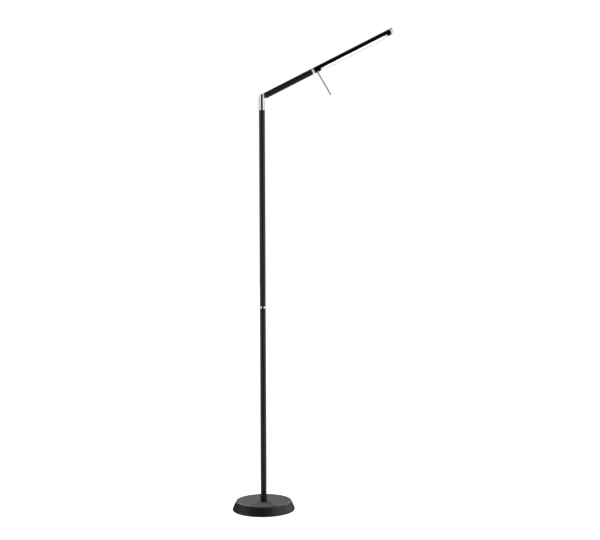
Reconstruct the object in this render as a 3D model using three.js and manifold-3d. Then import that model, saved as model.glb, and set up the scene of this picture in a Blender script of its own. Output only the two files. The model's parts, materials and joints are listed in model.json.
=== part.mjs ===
// Pharmacy floor lamp: a weighted round base, a two-piece pole, a swivelling hinge post, a tilting arm,
// and a slim LED head that rolls about the arm's axis and carries a steering rod and a dimmer knob.
//
// Units are millimetres. +Z is up, the origin is the middle of the foot pad's underside, and the arm
// points along +X, raised by ARM_REST_DEG. The arm and head are modelled in their own groups: along the
// arm, local X runs from the tilt pivot to the tip, and -Z is the side that the lens and rod are on.

import * as THREE from "three";
import { mergeVertices } from "three/addons/utils/BufferGeometryUtils.js";
import Module from "manifold-3d";

const wasm = await Module();
wasm.setup();

// ---------------------------------------------------------------------------------------------------
// Driving dimensions
// ---------------------------------------------------------------------------------------------------

const TUBE_R = 9.5; // pole and arm tube, 19 mm outside
const TUBE_WALL = 1.5;
const BORE_R = TUBE_R - TUBE_WALL;
const GAP = 0.3; // clearance between separate pieces
const FIT = 0.15; // clearance round screws, pins and studs
const FAR = 20; // how far a cutting tool reaches past what it cuts

const BASE_R = 100; // foot of the base
const BASE_TOP_R = 90;
const BASE_H = 28.5; // floor to the flat top
const PIVOT_Z = 1323.5; // tilt pivot above the floor
const RING_Z = 644.5; // underside of the bright ring in the middle of the pole
const RING_H = 7.5;
const RING_R = TUBE_R + 0.1; // the bright rings stand a little proud of the tubes
const RING_EDGE = 0.8; // and have this chamfer
const POLE_TOP_Z = 1279.5;

const ARM_REST_DEG = 26.8; // the arm's rise above horizontal
const ROLL_REST_DEG = -24; // the head's roll from lens-down; negative turns the lens towards -Y
const ARM_END_X = 180.5; // far end of the arm tube
const HEAD_X = 188.5; // near end of the head's housing
const SLOT_X = [209.6, 448.8]; // the light slot along the head
const HEAD_END_X = 463;
const KNOB_END_X = 472.4;

const STUD_R = 4.9; // hollow threaded studs
const STUD_BORE_R = 3.25;
const INSERT_R = BORE_R - GAP; // plugs fixed inside the tubes
const SPIGOT_R = 5.5; // the hinge post's spigot in the pole
const ROLL_SPIGOT_R = 5; // the head's spigot in the arm

const ROUND_BIG = 64; // sides of the base's circles
const ROUND = 32; // sides of a tube
const ROUND_SMALL = 16; // sides of spigots, studs and other small round pieces
const ROUND_TINY = 12; // sides of small screws and pins
const ROUND_WIRE = 8;
const HEXAGON = 6;

// ---------------------------------------------------------------------------------------------------
// Materials
// ---------------------------------------------------------------------------------------------------

function finish(color, roughness, metalness) {
  return new THREE.MeshStandardMaterial({ color, roughness, metalness });
}

const BLACK_PAINT = finish(0x1b1b1b, 0.5, 0);
const GLOSS_BLACK = finish(0x0b0b0b, 0.3, 0);
const CHROME = finish(0xe6e6e6, 0.06, 1);
const STEEL = finish(0x9a9a98, 0.35, 1);
const BLACK_STEEL = finish(0x18181a, 0.35, 0.6);
const CAST_IRON = finish(0x3a3a3a, 0.8, 0.5);
const ALUMINIUM = finish(0xc4c6c8, 0.4, 1);
const NYLON = finish(0x202020, 0.6, 0);
const WHITE_PLASTIC = finish(0xf2f2f0, 0.4, 0);
const LENS = finish(0xffffff, 0.35, 0);
const RUBBER = finish(0x161616, 0.9, 0);
const WIRE = finish(0x2a2a2a, 0.6, 0);

// ---------------------------------------------------------------------------------------------------
// Shape helpers. A solid is a manifold-3d Manifold; a turned or boxed geometry becomes one by solidOf.
// ---------------------------------------------------------------------------------------------------

// Turns a lathe's own Y axis to the named axis.
function aim(geometry, axis) {
  if (axis === "z") geometry.rotateX(Math.PI / 2);
  if (axis === "x") geometry.rotateZ(-Math.PI / 2);
  return geometry;
}

// A profile of [radius, height] points, given anticlockwise, turned about the named axis.
function turned(profile, axis = "z", sides = ROUND) {
  const points = profile.map(([r, h]) => new THREE.Vector2(r, h));
  points.push(points[0].clone());
  return aim(new THREE.LatheGeometry(points, sides), axis);
}

// A plain bar or ring between two heights; inner 0 makes it solid.
function ring(outer, inner, from, to, axis = "z", sides = ROUND) {
  const profile = [
    [inner, from],
    [outer, from],
    [outer, to],
    [inner, to],
  ];
  return turned(profile, axis, sides);
}

// A bright ring with chamfered edges, between two heights.
function brightRing(bore, from, to, axis) {
  const profile = [
    [bore, from],
    [RING_R - RING_EDGE, from],
    [RING_R, from + RING_EDGE],
    [RING_R, to - RING_EDGE],
    [RING_R - RING_EDGE, to],
    [bore, to],
  ];
  return turned(profile, axis);
}

function block(x0, x1, y0, y1, z0, z1) {
  const g = new THREE.BoxGeometry(x1 - x0, y1 - y0, z1 - z0);
  return g.translate((x0 + x1) / 2, (y0 + y1) / 2, (z0 + z1) / 2);
}

// A flat outline in the XY plane, extruded from z0 to z1.
function plate(shape, z0, z1, curveSegments = 12) {
  const g = new THREE.ExtrudeGeometry(shape, { depth: z1 - z0, bevelEnabled: false, curveSegments });
  return g.translate(0, 0, z0);
}

function solidOf(geometry) {
  const g = geometry.index ? geometry.toNonIndexed() : geometry.clone();
  g.deleteAttribute("normal");
  g.deleteAttribute("uv");
  const merged = mergeVertices(g, 1e-4);
  const vertProperties = merged.attributes.position.array;
  const triVerts = new Uint32Array(merged.index.array);
  return new wasm.Manifold(new wasm.Mesh({ numProp: 3, vertProperties, triVerts }));
}

function geometryOf(solid) {
  const mesh = solid.getMesh();
  const g = new THREE.BufferGeometry();
  g.setAttribute("position", new THREE.BufferAttribute(new Float32Array(mesh.vertProperties), 3));
  g.setIndex(new THREE.BufferAttribute(new Uint32Array(mesh.triVerts), 1));
  g.computeVertexNormals();
  return g;
}

// The first geometry with every later one cut away.
function cut(geometry, ...tools) {
  return geometryOf(tools.reduce((s, tool) => s.subtract(solidOf(tool)), solidOf(geometry)));
}

function join(...geometries) {
  return geometryOf(geometries.map(solidOf).reduce((a, b) => a.add(b)));
}

function common(...geometries) {
  return geometryOf(geometries.map(solidOf).reduce((a, b) => a.intersect(b)));
}

const root = new THREE.Group();
const post = new THREE.Group();
const arm = new THREE.Group();
const head = new THREE.Group();
arm.position.z = PIVOT_Z;
arm.rotation.y = -THREE.MathUtils.degToRad(ARM_REST_DEG);
head.rotation.x = THREE.MathUtils.degToRad(ROLL_REST_DEG);
arm.add(head);
root.add(post, arm);

function piece(group, name, geometry, material) {
  const mesh = new THREE.Mesh(geometry, material);
  mesh.name = name;
  group.add(mesh);
}

// ---------------------------------------------------------------------------------------------------
// Base: a pressed cover over a cast weight, on a foam pad, all clamped by one hollow stud and nut
// ---------------------------------------------------------------------------------------------------

const PAD_H = 2;
const PAD_R = 99.6;
const RIM_Z = PAD_H + GAP; // the cover's lower edge rests on the pad
const RIM_H = 1.8; // upright band at the cover's foot
const COVER_WALL = 1.6;
const COVER_EDGE_R = 1.5; // rounding of the top edge
const EDGE_STEPS = 4; // facets of that rounding
const SLOPE_Z = [RIM_Z + RIM_H, BASE_H - COVER_EDGE_R];
const CEILING_Z = BASE_H - COVER_WALL;
const WEIGHT_Z = [RIM_Z, CEILING_Z - GAP];
const WEIGHT_GAP = 1.2; // between the cover's side and the weight
const RECESS_R = 17; // pocket for the nut, under the weight
const RECESS_Z = 12.2;
const CHANNEL = { halfWidth: 5, top: 16.5 }; // cord channel from the pocket to the rear
const STUD_HOLE_R = STUD_R + GAP;
const BASE_WASHER = { radius: 11, height: 1.2 };
const BASE_NUT = { radius: 9.8, height: 6 };
const INLET_Z = 12; // height of the cord inlet
const INLET_BORE_R = 3.5;
const INLET_NECK_R = 5;
const INLET_FLANGE_R = 6.6;
const INLET_FLANGE_H = 1.5;
const INLET_CUT = 5; // how far each way from the cover its hole is cut
const INLET_POCKET = { clearance: 1, depth: 8 }; // room for the bush in the weight

// The base's outer radius at a height on its sloping side.
function sideRadius(z) {
  const t = (z - SLOPE_Z[0]) / (SLOPE_Z[1] - SLOPE_Z[0]);
  return BASE_R + (BASE_TOP_R - BASE_R) * t;
}

function coverProfile() {
  const edge = [];
  for (let i = 0; i <= EDGE_STEPS; i++) {
    const angle = (i / EDGE_STEPS) * (Math.PI / 2);
    const radius = BASE_TOP_R - COVER_EDGE_R * (1 - Math.cos(angle));
    const height = BASE_H - COVER_EDGE_R * (1 - Math.sin(angle));
    edge.push([radius, height]);
  }
  return [
    [BASE_R - COVER_WALL, RIM_Z],
    [BASE_R, RIM_Z],
    [BASE_R, SLOPE_Z[0]],
    ...edge,
    [STUD_HOLE_R, BASE_H],
    [STUD_HOLE_R, CEILING_Z],
    [sideRadius(CEILING_Z) - COVER_WALL, CEILING_Z],
    [BASE_R - COVER_WALL, SLOPE_Z[0]],
  ];
}

// The base's outside grown by an offset, to trim what follows its slope.
function baseBody(offset) {
  const profile = [
    [0, -FAR],
    [BASE_R + offset, -FAR],
    [BASE_R + offset, SLOPE_Z[0]],
    [BASE_TOP_R + offset, SLOPE_Z[1]],
    [0, SLOPE_Z[1]],
  ];
  return turned(profile, "z", ROUND_BIG);
}

// A round bar along Y through the rear wall at the inlet's height, between two offsets from the slope.
function throughRear(outer, inner, from, to) {
  const bar = ring(outer, inner, BASE_TOP_R - FAR, BASE_R + FAR, "y", ROUND_SMALL);
  bar.translate(0, 0, INLET_Z);
  return cut(common(bar, baseBody(to)), baseBody(from));
}

function buildCover() {
  const inletHole = throughRear(INLET_NECK_R + GAP, 0, -INLET_CUT, INLET_CUT);
  piece(root, "base_cover", cut(turned(coverProfile(), "z", ROUND_BIG), inletHole), BLACK_PAINT);
  piece(root, "base_pad", ring(PAD_R, 0, 0, PAD_H, "z", ROUND_BIG), RUBBER);
}

function buildWeight() {
  const inset = COVER_WALL + WEIGHT_GAP;
  const profile = [
    [0, WEIGHT_Z[0]],
    [sideRadius(SLOPE_Z[0]) - inset, WEIGHT_Z[0]],
    [sideRadius(WEIGHT_Z[1]) - inset, WEIGHT_Z[1]],
    [0, WEIGHT_Z[1]],
  ];
  const weight = turned(profile, "z", ROUND_BIG);
  const studHole = ring(STUD_HOLE_R, 0, 0, BASE_H, "z", ROUND_SMALL);
  const nutPocket = ring(RECESS_R, 0, 0, RECESS_Z);
  const channel = block(-CHANNEL.halfWidth, CHANNEL.halfWidth, 0, BASE_R, 0, CHANNEL.top);
  const pocketR = INLET_FLANGE_R + INLET_POCKET.clearance;
  const inletPocket = throughRear(pocketR, 0, -INLET_POCKET.depth, INLET_CUT);
  piece(root, "base_weight", cut(weight, studHole, nutPocket, channel, inletPocket), CAST_IRON);

  const washerTop = RECESS_Z - GAP;
  const washer = ring(BASE_WASHER.radius, STUD_HOLE_R, washerTop - BASE_WASHER.height, washerTop);
  piece(root, "base_washer", washer, STEEL);
  const nutTop = washerTop - BASE_WASHER.height - GAP;
  const nut = ring(BASE_NUT.radius, 0, nutTop - BASE_NUT.height, nutTop, "z", HEXAGON);
  const nutBore = ring(STUD_R + FIT, 0, 0, RECESS_Z, "z", ROUND_SMALL);
  piece(root, "base_nut", cut(nut, nutBore), STEEL);
}

// Rubber bush for the mains lead: a neck through the cover with a flange on each side of it.
function buildInlet() {
  const inside = -COVER_WALL - GAP;
  const neck = throughRear(INLET_NECK_R, INLET_BORE_R, inside - INLET_FLANGE_H, GAP + INLET_FLANGE_H);
  const outerFlange = throughRear(INLET_FLANGE_R, INLET_BORE_R, GAP, GAP + INLET_FLANGE_H);
  const innerFlange = throughRear(INLET_FLANGE_R, INLET_BORE_R, inside - INLET_FLANGE_H, inside);
  piece(root, "cord_inlet_bush", join(neck, outerFlange, innerFlange), RUBBER);
}

// ---------------------------------------------------------------------------------------------------
// Pole: two tubes with threaded plugs, joined by hollow studs, with a bright ring between them
// ---------------------------------------------------------------------------------------------------

const POLE_Z = BASE_H + GAP;
const COLLAR_R = 11.4;
const COLLAR_H = 20.7;
const COLLAR_EDGE = 1;
const STUD_FOOT_Z = 4.2;
const STUD_SHORT = 4; // a stud stops this far short of its plug's end
const PLUG_LENGTH = 30;
const UPPER_Z = RING_Z + RING_H + GAP; // foot of the upper tube
const WIRE_R = 2;

function stud(name, from, to) {
  piece(root, name, ring(STUD_R, STUD_BORE_R, from, to, "z", ROUND_SMALL), STEEL);
}

function tubePlug(name, from) {
  const plug = ring(INSERT_R, STUD_R + FIT, from, from + PLUG_LENGTH, "z", ROUND_SMALL);
  piece(root, name, plug, STEEL);
}

function buildPole() {
  stud("foot_stud", STUD_FOOT_Z, POLE_Z + PLUG_LENGTH - STUD_SHORT);
  tubePlug("foot_plug", POLE_Z + GAP);
  piece(root, "lower_pole", ring(TUBE_R, BORE_R, POLE_Z, RING_Z - GAP), BLACK_PAINT);
  const collar = turned([
    [TUBE_R + GAP, POLE_Z],
    [COLLAR_R, POLE_Z],
    [COLLAR_R, POLE_Z + COLLAR_H - COLLAR_EDGE],
    [COLLAR_R - COLLAR_EDGE, POLE_Z + COLLAR_H],
    [TUBE_R + GAP, POLE_Z + COLLAR_H],
  ]);
  piece(root, "foot_collar", collar, BLACK_PAINT);

  tubePlug("lower_pole_plug", RING_Z - 2 * GAP - PLUG_LENGTH);
  stud("coupling_stud", RING_Z - PLUG_LENGTH + STUD_SHORT, UPPER_Z + PLUG_LENGTH - STUD_SHORT);
  piece(root, "pole_ring", brightRing(STUD_R + GAP, RING_Z, RING_Z + RING_H, "z"), CHROME);
  tubePlug("upper_pole_plug", UPPER_Z + GAP);
  piece(root, "upper_pole", ring(TUBE_R, BORE_R, UPPER_Z, POLE_TOP_Z), BLACK_PAINT);

  const wire = ring(WIRE_R, 0, STUD_FOOT_Z, SLOT_FLOOR_Z - WIRE_R, "z", ROUND_WIRE);
  piece(root, "pole_wire", wire, WIRE);
}

// ---------------------------------------------------------------------------------------------------
// A swivel: a spigot turns in a flanged bush, held by a wave washer and a clip; a pin across the spigot
// meets the bush's finger, so that the wire can't be wound up. Both swivels are built along +Z here,
// from the bush's outer face at 0 down into the tube.
// ---------------------------------------------------------------------------------------------------

const BUSH_LENGTH = 25;
const BUSH_FLANGE_H = 0.8;
const WASHER_H = 1.2;
const CLIP_H = 1;
const CLIP_OPENING = 2; // half the gap in the clip
const GROOVE_DEPTH = 0.8;
const FINGER = { from: 6.95, to: 7.55, halfWidth: 1.5, length: 9, root: 1 };
const PIN_R = 1;
const PIN_REACH = 7.4;
const PIN_SEAT = 1.6; // how deep the pin sits in the spigot's wall
const SPIGOT_TAIL = 3; // what is left of the spigot beyond the pin's middle

// Distances below the bush's lower face, to the clip's top and to the pin's middle.
const CLIP_DROP = WASHER_H + 2 * GAP;
const PIN_DROP = CLIP_DROP + CLIP_H + 2.5 * PIN_R;

function swivelBush(spigotR, flangeR) {
  const outside = flangeR
    ? [
        [INSERT_R, -GAP],
        [flangeR, -GAP],
        [flangeR, BUSH_FLANGE_H],
        [spigotR + GAP, BUSH_FLANGE_H],
      ]
    : [
        [INSERT_R, 0],
        [spigotR + GAP, 0],
      ];
  const sleeve = turned([[spigotR + GAP, -BUSH_LENGTH], [INSERT_R, -BUSH_LENGTH], ...outside]);
  const finger = block(
    -FINGER.to,
    -FINGER.from,
    -FINGER.halfWidth,
    FINGER.halfWidth,
    -BUSH_LENGTH - FINGER.length,
    -BUSH_LENGTH + FINGER.root,
  );
  return join(sleeve, finger);
}

function swivelWasher(spigotR) {
  const top = -BUSH_LENGTH - GAP;
  return ring(FINGER.from - GAP, spigotR + GAP, top - WASHER_H, top, "z", ROUND_SMALL);
}

// An open clip in a groove of the spigot; its gap faces away from the pin.
function swivelClip(spigotR) {
  const top = -BUSH_LENGTH - CLIP_DROP;
  const bore = spigotR - GROOVE_DEPTH + GAP;
  const full = ring(FINGER.from - GAP, bore, top - CLIP_H, top, "z", ROUND_SMALL);
  return cut(full, block(-FAR, 0, -CLIP_OPENING, CLIP_OPENING, top - FAR, top + FAR));
}

// Groove and cross hole, as tools to cut from a spigot.
function spigotCuts(spigotR) {
  const top = -BUSH_LENGTH - CLIP_DROP;
  const grooveR = spigotR - GROOVE_DEPTH;
  const groove = ring(2 * spigotR, grooveR, top - CLIP_H - GAP, top + GAP, "z", ROUND_SMALL);
  const hole = ring(PIN_R + FIT, 0, 0, 2 * spigotR, "x", ROUND_TINY);
  hole.translate(0, 0, -BUSH_LENGTH - PIN_DROP);
  return [groove, hole];
}

function stopPin(spigotR) {
  const pin = ring(PIN_R, 0, spigotR - PIN_SEAT, PIN_REACH, "x", ROUND_TINY);
  return pin.translate(0, 0, -BUSH_LENGTH - PIN_DROP);
}

// ---------------------------------------------------------------------------------------------------
// Hinge post: turns on the pole's top, and its forked, round-topped end holds the tilt hinge
// ---------------------------------------------------------------------------------------------------

const POST_R = 9.7;
const POST_EDGE = 0.5;
const BUSH_Z = POLE_TOP_Z + GAP; // the bush's face, on the pole's end
const POST_Z = BUSH_Z + BUSH_FLANGE_H + GAP;
const POST_BORE_R = 3.4;
const SPIGOT_END_Z = BUSH_Z - BUSH_LENGTH - PIN_DROP - SPIGOT_TAIL;
const SLOT_HALF = 3.6; // half the fork's gap
const SLOT_FLOOR_Z = PIVOT_Z - 12;
const SLOT_BACK_X = -5.4; // closed side of the fork, which stops the arm when it is upright
const SEAT_Y = 7.2; // where the seats for the screw's head and nut start
const HINGE_R = 2; // the hinge screw's shank
const HINGE_SCREW = { headR: 2.6, tip: 8.9, head: [-9.3, -7.4], socketR: 1.3, socketFloor: -8.1 };
const HINGE_NUT = { radius: 3.6, from: 7.4, to: 9 };
const SEAT_GAP = 0.25; // round the screw's head and nut

function buildSwivel() {
  piece(root, "swivel_bush", swivelBush(SPIGOT_R, TUBE_R).translate(0, 0, BUSH_Z), NYLON);
  piece(post, "swivel_washer", swivelWasher(SPIGOT_R).translate(0, 0, BUSH_Z), STEEL);
  piece(post, "swivel_clip", swivelClip(SPIGOT_R).translate(0, 0, BUSH_Z), STEEL);
  piece(post, "swivel_stop_pin", stopPin(SPIGOT_R).translate(0, 0, BUSH_Z), STEEL);
}

function buildPost() {
  const blank = turned([
    [0, SPIGOT_END_Z],
    [SPIGOT_R, SPIGOT_END_Z],
    [SPIGOT_R, POST_Z],
    [POST_R - POST_EDGE, POST_Z],
    [POST_R, POST_Z + POST_EDGE],
    [POST_R, PIVOT_Z + FAR],
    [0, PIVOT_Z + FAR],
  ]);
  const below = block(-FAR, FAR, -FAR, FAR, SPIGOT_END_Z - FAR, PIVOT_Z);
  const dome = ring(POST_R, 0, -FAR, FAR, "y");
  const outside = common(blank, join(below, dome.translate(0, 0, PIVOT_Z)));
  const bore = ring(POST_BORE_R, 0, SPIGOT_END_Z - FAR, SLOT_FLOOR_Z + GAP, "z", ROUND_SMALL);
  const fork = block(SLOT_BACK_X, FAR, -SLOT_HALF, SLOT_HALF, SLOT_FLOOR_Z, PIVOT_Z + FAR);
  const hingeCuts = [
    ring(HINGE_R + FIT, 0, -FAR, FAR, "y", ROUND_SMALL),
    ring(HINGE_SCREW.headR + SEAT_GAP, 0, -FAR, -SEAT_Y, "y", ROUND_SMALL),
    ring(HINGE_NUT.radius + SEAT_GAP, 0, SEAT_Y, FAR, "y", ROUND_SMALL),
  ].map((g) => g.translate(0, 0, PIVOT_Z));
  const swivelCuts = spigotCuts(SPIGOT_R).map((g) => g.translate(0, 0, BUSH_Z));
  piece(post, "hinge_post", cut(outside, bore, fork, ...hingeCuts, ...swivelCuts), CHROME);
}

function buildHingeScrew() {
  const [capStart, capEnd] = HINGE_SCREW.head;
  const shank = ring(HINGE_R, 0, HINGE_SCREW.socketFloor, HINGE_SCREW.tip, "y", ROUND_SMALL);
  const cap = ring(HINGE_SCREW.headR, 0, capStart, capEnd, "y", ROUND_SMALL);
  const socket = ring(HINGE_SCREW.socketR, 0, -FAR, HINGE_SCREW.socketFloor, "y", HEXAGON);
  piece(post, "hinge_screw", cut(join(shank, cap), socket).translate(0, 0, PIVOT_Z), BLACK_STEEL);

  const blank = ring(HINGE_NUT.radius, 0, HINGE_NUT.from, HINGE_NUT.to, "y", HEXAGON);
  const nut = cut(blank, ring(HINGE_R + FIT, 0, 0, FAR, "y", ROUND_SMALL));
  piece(post, "hinge_nut", nut.translate(0, 0, PIVOT_Z), STEEL);
}

// ---------------------------------------------------------------------------------------------------
// Arm: a tongue in the fork, a tube on the tongue's plug, and the roll bush in the tube's far end
// ---------------------------------------------------------------------------------------------------

const TONGUE_HALF = 3; // half its thickness
const EYE_R = 5; // rounding at the pivot, and half the tongue's height
const FLANGE_X = [9.95, 11.2];
const FLANGE_R = TUBE_R - 0.1;
const FLANGE_EDGE = 0.4;
const ARM_X = FLANGE_X[1] + GAP;
const ARM_PLUG_END_X = 42;
const ARM_BORE = { radius: 2.7, from: 9.4 }; // the wire's way through the tongue's plug
const WIRE_MOUTH = { from: 7, to: 11, halfWidth: 1.8 }; // and out of it, in the tongue's underside
const SET_SCREW_X = 26;
const SET_SCREW = { radius: 1.5, z: [-9, -4.4], seatTop: -4, socketR: 0.8, socketTop: -7.6 };
const FRICTION_WASHER = { radius: EYE_R - 0.1, in: TONGUE_HALF + 0.05, out: SLOT_HALF - 0.1 };
const ARM_WIRE_FROM = 13;
const ROLL_FACE_X = ARM_END_X - GAP; // outer face of the roll bush

// Turns a shape built along +Z with its face at 0 so that it runs along +X with its face at x.
function alongArm(geometry, x) {
  return geometry.rotateY(Math.PI / 2).translate(x, 0, 0);
}

function buildTongue() {
  const plug = turned(
    [
      [0, FLANGE_X[0]],
      [FLANGE_R - FLANGE_EDGE, FLANGE_X[0]],
      [FLANGE_R, FLANGE_X[0] + FLANGE_EDGE],
      [FLANGE_R, FLANGE_X[1]],
      [INSERT_R, FLANGE_X[1]],
      [INSERT_R, ARM_PLUG_END_X],
      [0, ARM_PLUG_END_X],
    ],
    "x",
  );
  const round = ring(EYE_R, 0, -TONGUE_HALF, TONGUE_HALF, "y");
  const tab = block(0, FLANGE_X[1], -TONGUE_HALF, TONGUE_HALF, -EYE_R, EYE_R);
  const { from, to, halfWidth } = WIRE_MOUTH;
  const cuts = [
    ring(HINGE_R + FIT, 0, -FAR, FAR, "y", ROUND_SMALL),
    ring(ARM_BORE.radius, 0, ARM_BORE.from, ARM_PLUG_END_X + FAR, "x", ROUND_SMALL),
    block(from, to, -halfWidth, halfWidth, -FAR, 0),
    setScrewTool(SET_SCREW.radius + FIT),
  ];
  piece(arm, "hinge_tongue", cut(join(round, tab, plug), ...cuts), CHROME);
}

// A round tool at the set screw's place, from below the arm up to the seat's top.
function setScrewTool(radius) {
  return ring(radius, 0, -FAR, SET_SCREW.seatTop, "z", ROUND_TINY).translate(SET_SCREW_X, 0, 0);
}

function frictionWasher(name, from, to) {
  const washer = ring(FRICTION_WASHER.radius, HINGE_R + GAP, from, to, "y", ROUND_SMALL);
  piece(arm, name, washer, NYLON);
}

function buildArm() {
  buildTongue();
  frictionWasher("friction_washer_front", -FRICTION_WASHER.out, -FRICTION_WASHER.in);
  frictionWasher("friction_washer_back", FRICTION_WASHER.in, FRICTION_WASHER.out);

  const tube = ring(TUBE_R, BORE_R, ARM_X, ARM_END_X, "x");
  piece(arm, "arm_tube", cut(tube, setScrewTool(SET_SCREW.radius + GAP)), BLACK_PAINT);
  const grub = cut(
    ring(SET_SCREW.radius, 0, SET_SCREW.z[0], SET_SCREW.z[1], "z", ROUND_TINY),
    ring(SET_SCREW.socketR, 0, -FAR, SET_SCREW.socketTop, "z", HEXAGON),
  );
  piece(arm, "arm_set_screw", grub.translate(SET_SCREW_X, 0, 0), BLACK_STEEL);

  piece(arm, "roll_bush", alongArm(swivelBush(ROLL_SPIGOT_R, 0), ROLL_FACE_X), NYLON);
  piece(arm, "arm_wire", ring(WIRE_R, 0, ARM_WIRE_FROM, SPIGOT_TIP_X, "x", ROUND_WIRE), WIRE);
}

// ---------------------------------------------------------------------------------------------------
// Head: a slotted tube on a hollow spigot, with the LED strip on its carrier behind a bulging lens
// ---------------------------------------------------------------------------------------------------

const HOUSING_WALL = 1.7;
const HOUSING_BORE_R = TUBE_R - HOUSING_WALL;
const HEAD_PLUG_R = HOUSING_BORE_R - GAP;
const SLOT_HALF_Y = 5.7;
const SLOT_TOP_Z = -3; // the slot's tool reaches up to here
const RING_X = [ARM_END_X + 0.5, HEAD_X - 0.5];
const SPIGOT_END_X = ROLL_FACE_X - BUSH_LENGTH - PIN_DROP - SPIGOT_TAIL;
const SPIGOT_TIP_X = HEAD_X + 13;
const HEAD_PLUG_END_X = SLOT_X[0] + 2;
const ROD_X = 196;
const ROD_R = 2.2;
const ROD_Z = [-109.5, -5.9]; // the rod's tip and root
const ROD_TIP_EDGE = 0.8;
const SLEEVE = { radius: 3.4, z: [-12.4, -9.9], edge: 0.6 };
const HEAD_SCREW = { radius: 1.1, headR: 1.7, head: [8.3, 9.3], socketR: 0.8, socketFloor: 8.7 };
const NEAR_SCREW = { x: 205, tip: 5.6, holeFloor: 4 }; // in the plug, on the head's top
const FAR_SCREW = { x: 455.5, tip: 6.6, holeFloor: 6.2 }; // in the end cap, clear of the dimmer
const CARRIER_X = [HEAD_PLUG_END_X + 9, 445.5];
const WIRE_GROOVE = { halfWidth: 1.8, floor: 4 };
const LAMP_WIRE_R = 1.1;
const LAMP_WIRE_Z = 5.9;
const BOARD_Z = [-2.7, -1.5];
const BOARD_HALF_Y = 5;
const BOARD_INSET = 3; // from each end of the carrier
const CHIPS = 22;
const CHIP = { length: 3.5, width: 2.8, height: 0.7 };
const LENS_HALF_Y = 5.35;
const LENS_Z = -14.8; // the lens's lowest line
const LENS_TOP_Z = -3.7;
const LENS_WALL = 1.2;
const LENS_X = [SLOT_X[0] + 8.2, SLOT_X[1] - 6.2];
const LENS_SLANT = 5.5; // how far each end of the lens slopes back
const LENS_SHOULDER = 1.5; // upright part of each end
const CLIP_TOP_Z = LENS_TOP_Z - 0.6;
const DIMMER_X = [450, 459];
const DIMMER_R = 5.5;
const SHAFT_R = 3;

function housing() {
  const tube = ring(TUBE_R, HOUSING_BORE_R, HEAD_X, HEAD_END_X, "x");
  const slot = block(SLOT_X[0], SLOT_X[1], -SLOT_HALF_Y, SLOT_HALF_Y, -FAR, SLOT_TOP_Z);
  const screwHoles = [NEAR_SCREW, FAR_SCREW].map(({ x, tip }) => {
    const hole = ring(HEAD_SCREW.headR + FIT, 0, tip, FAR, "z", ROUND_TINY);
    return hole.translate(x, 0, 0);
  });
  return cut(tube, slot, rodTool(), ...screwHoles);
}

// A round tool at the rod's place, from below the head up past the rod's root.
function rodTool() {
  return ring(ROD_R + FIT, 0, -FAR, ROD_Z[1] + GAP, "z", ROUND_SMALL).translate(ROD_X, 0, 0);
}

function buildSpigot() {
  const cuts = spigotCuts(ROLL_SPIGOT_R).map((g) => alongArm(g, ROLL_FACE_X));
  const tube = ring(ROLL_SPIGOT_R, STUD_BORE_R, SPIGOT_END_X, SPIGOT_TIP_X, "x", ROUND_SMALL);
  piece(head, "roll_spigot", cut(tube, ...cuts), STEEL);
  piece(head, "roll_washer", alongArm(swivelWasher(ROLL_SPIGOT_R), ROLL_FACE_X), STEEL);
  piece(head, "roll_clip", alongArm(swivelClip(ROLL_SPIGOT_R), ROLL_FACE_X), STEEL);
  piece(head, "roll_stop_pin", alongArm(stopPin(ROLL_SPIGOT_R), ROLL_FACE_X), STEEL);
  piece(head, "head_ring", brightRing(ROLL_SPIGOT_R + FIT, RING_X[0], RING_X[1], "x"), CHROME);
}

function buildRod() {
  const rod = turned(
    [
      [0, ROD_Z[0]],
      [ROD_R - ROD_TIP_EDGE, ROD_Z[0]],
      [ROD_R, ROD_Z[0] + ROD_TIP_EDGE],
      [ROD_R, ROD_Z[1]],
      [0, ROD_Z[1]],
    ],
    "z",
    ROUND_SMALL,
  );
  piece(head, "handle_rod", rod.translate(ROD_X, 0, 0), STEEL);
  const { radius, z, edge } = SLEEVE;
  const sleeve = turned(
    [
      [ROD_R + FIT, z[0]],
      [radius - edge, z[0]],
      [radius, z[0] + edge],
      [radius, z[1]],
      [ROD_R + FIT, z[1]],
    ],
    "z",
    ROUND_SMALL,
  );
  piece(head, "handle_sleeve", sleeve.translate(ROD_X, 0, 0), CHROME);
}

// A U-shaped bar along X, open at the top: half width, lowest line, top, and the slope of its ends.
function trough(halfY, bottom, top, x0, x1, slant) {
  const section = new THREE.Shape();
  section.moveTo(-halfY, top);
  section.lineTo(-halfY, bottom + halfY);
  section.absarc(0, bottom + halfY, halfY, Math.PI, 2 * Math.PI, false);
  section.lineTo(halfY, top);
  section.closePath();
  const yAxis = new THREE.Vector3(0, 1, 0);
  const zAxis = new THREE.Vector3(0, 0, 1);
  const xAxis = new THREE.Vector3(1, 0, 0);
  const bar = plate(section, x0, x1);
  bar.applyMatrix4(new THREE.Matrix4().makeBasis(yAxis, zAxis, xAxis));
  const shoulder = top - LENS_SHOULDER;
  const bend = 0.2 * slant; // where each end's curve turns to run along the bottom
  const side = new THREE.Shape();
  side.moveTo(x0, top + FAR);
  side.lineTo(x0, shoulder);
  side.quadraticCurveTo(x0 + bend, bottom, x0 + slant, bottom);
  side.lineTo(x1 - slant, bottom);
  side.quadraticCurveTo(x1 - bend, bottom, x1, shoulder);
  side.lineTo(x1, top + FAR);
  side.closePath();
  const outline = plate(side, -FAR, FAR, ROUND_TINY / 2);
  return common(bar, outline.rotateX(Math.PI / 2));
}

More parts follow.
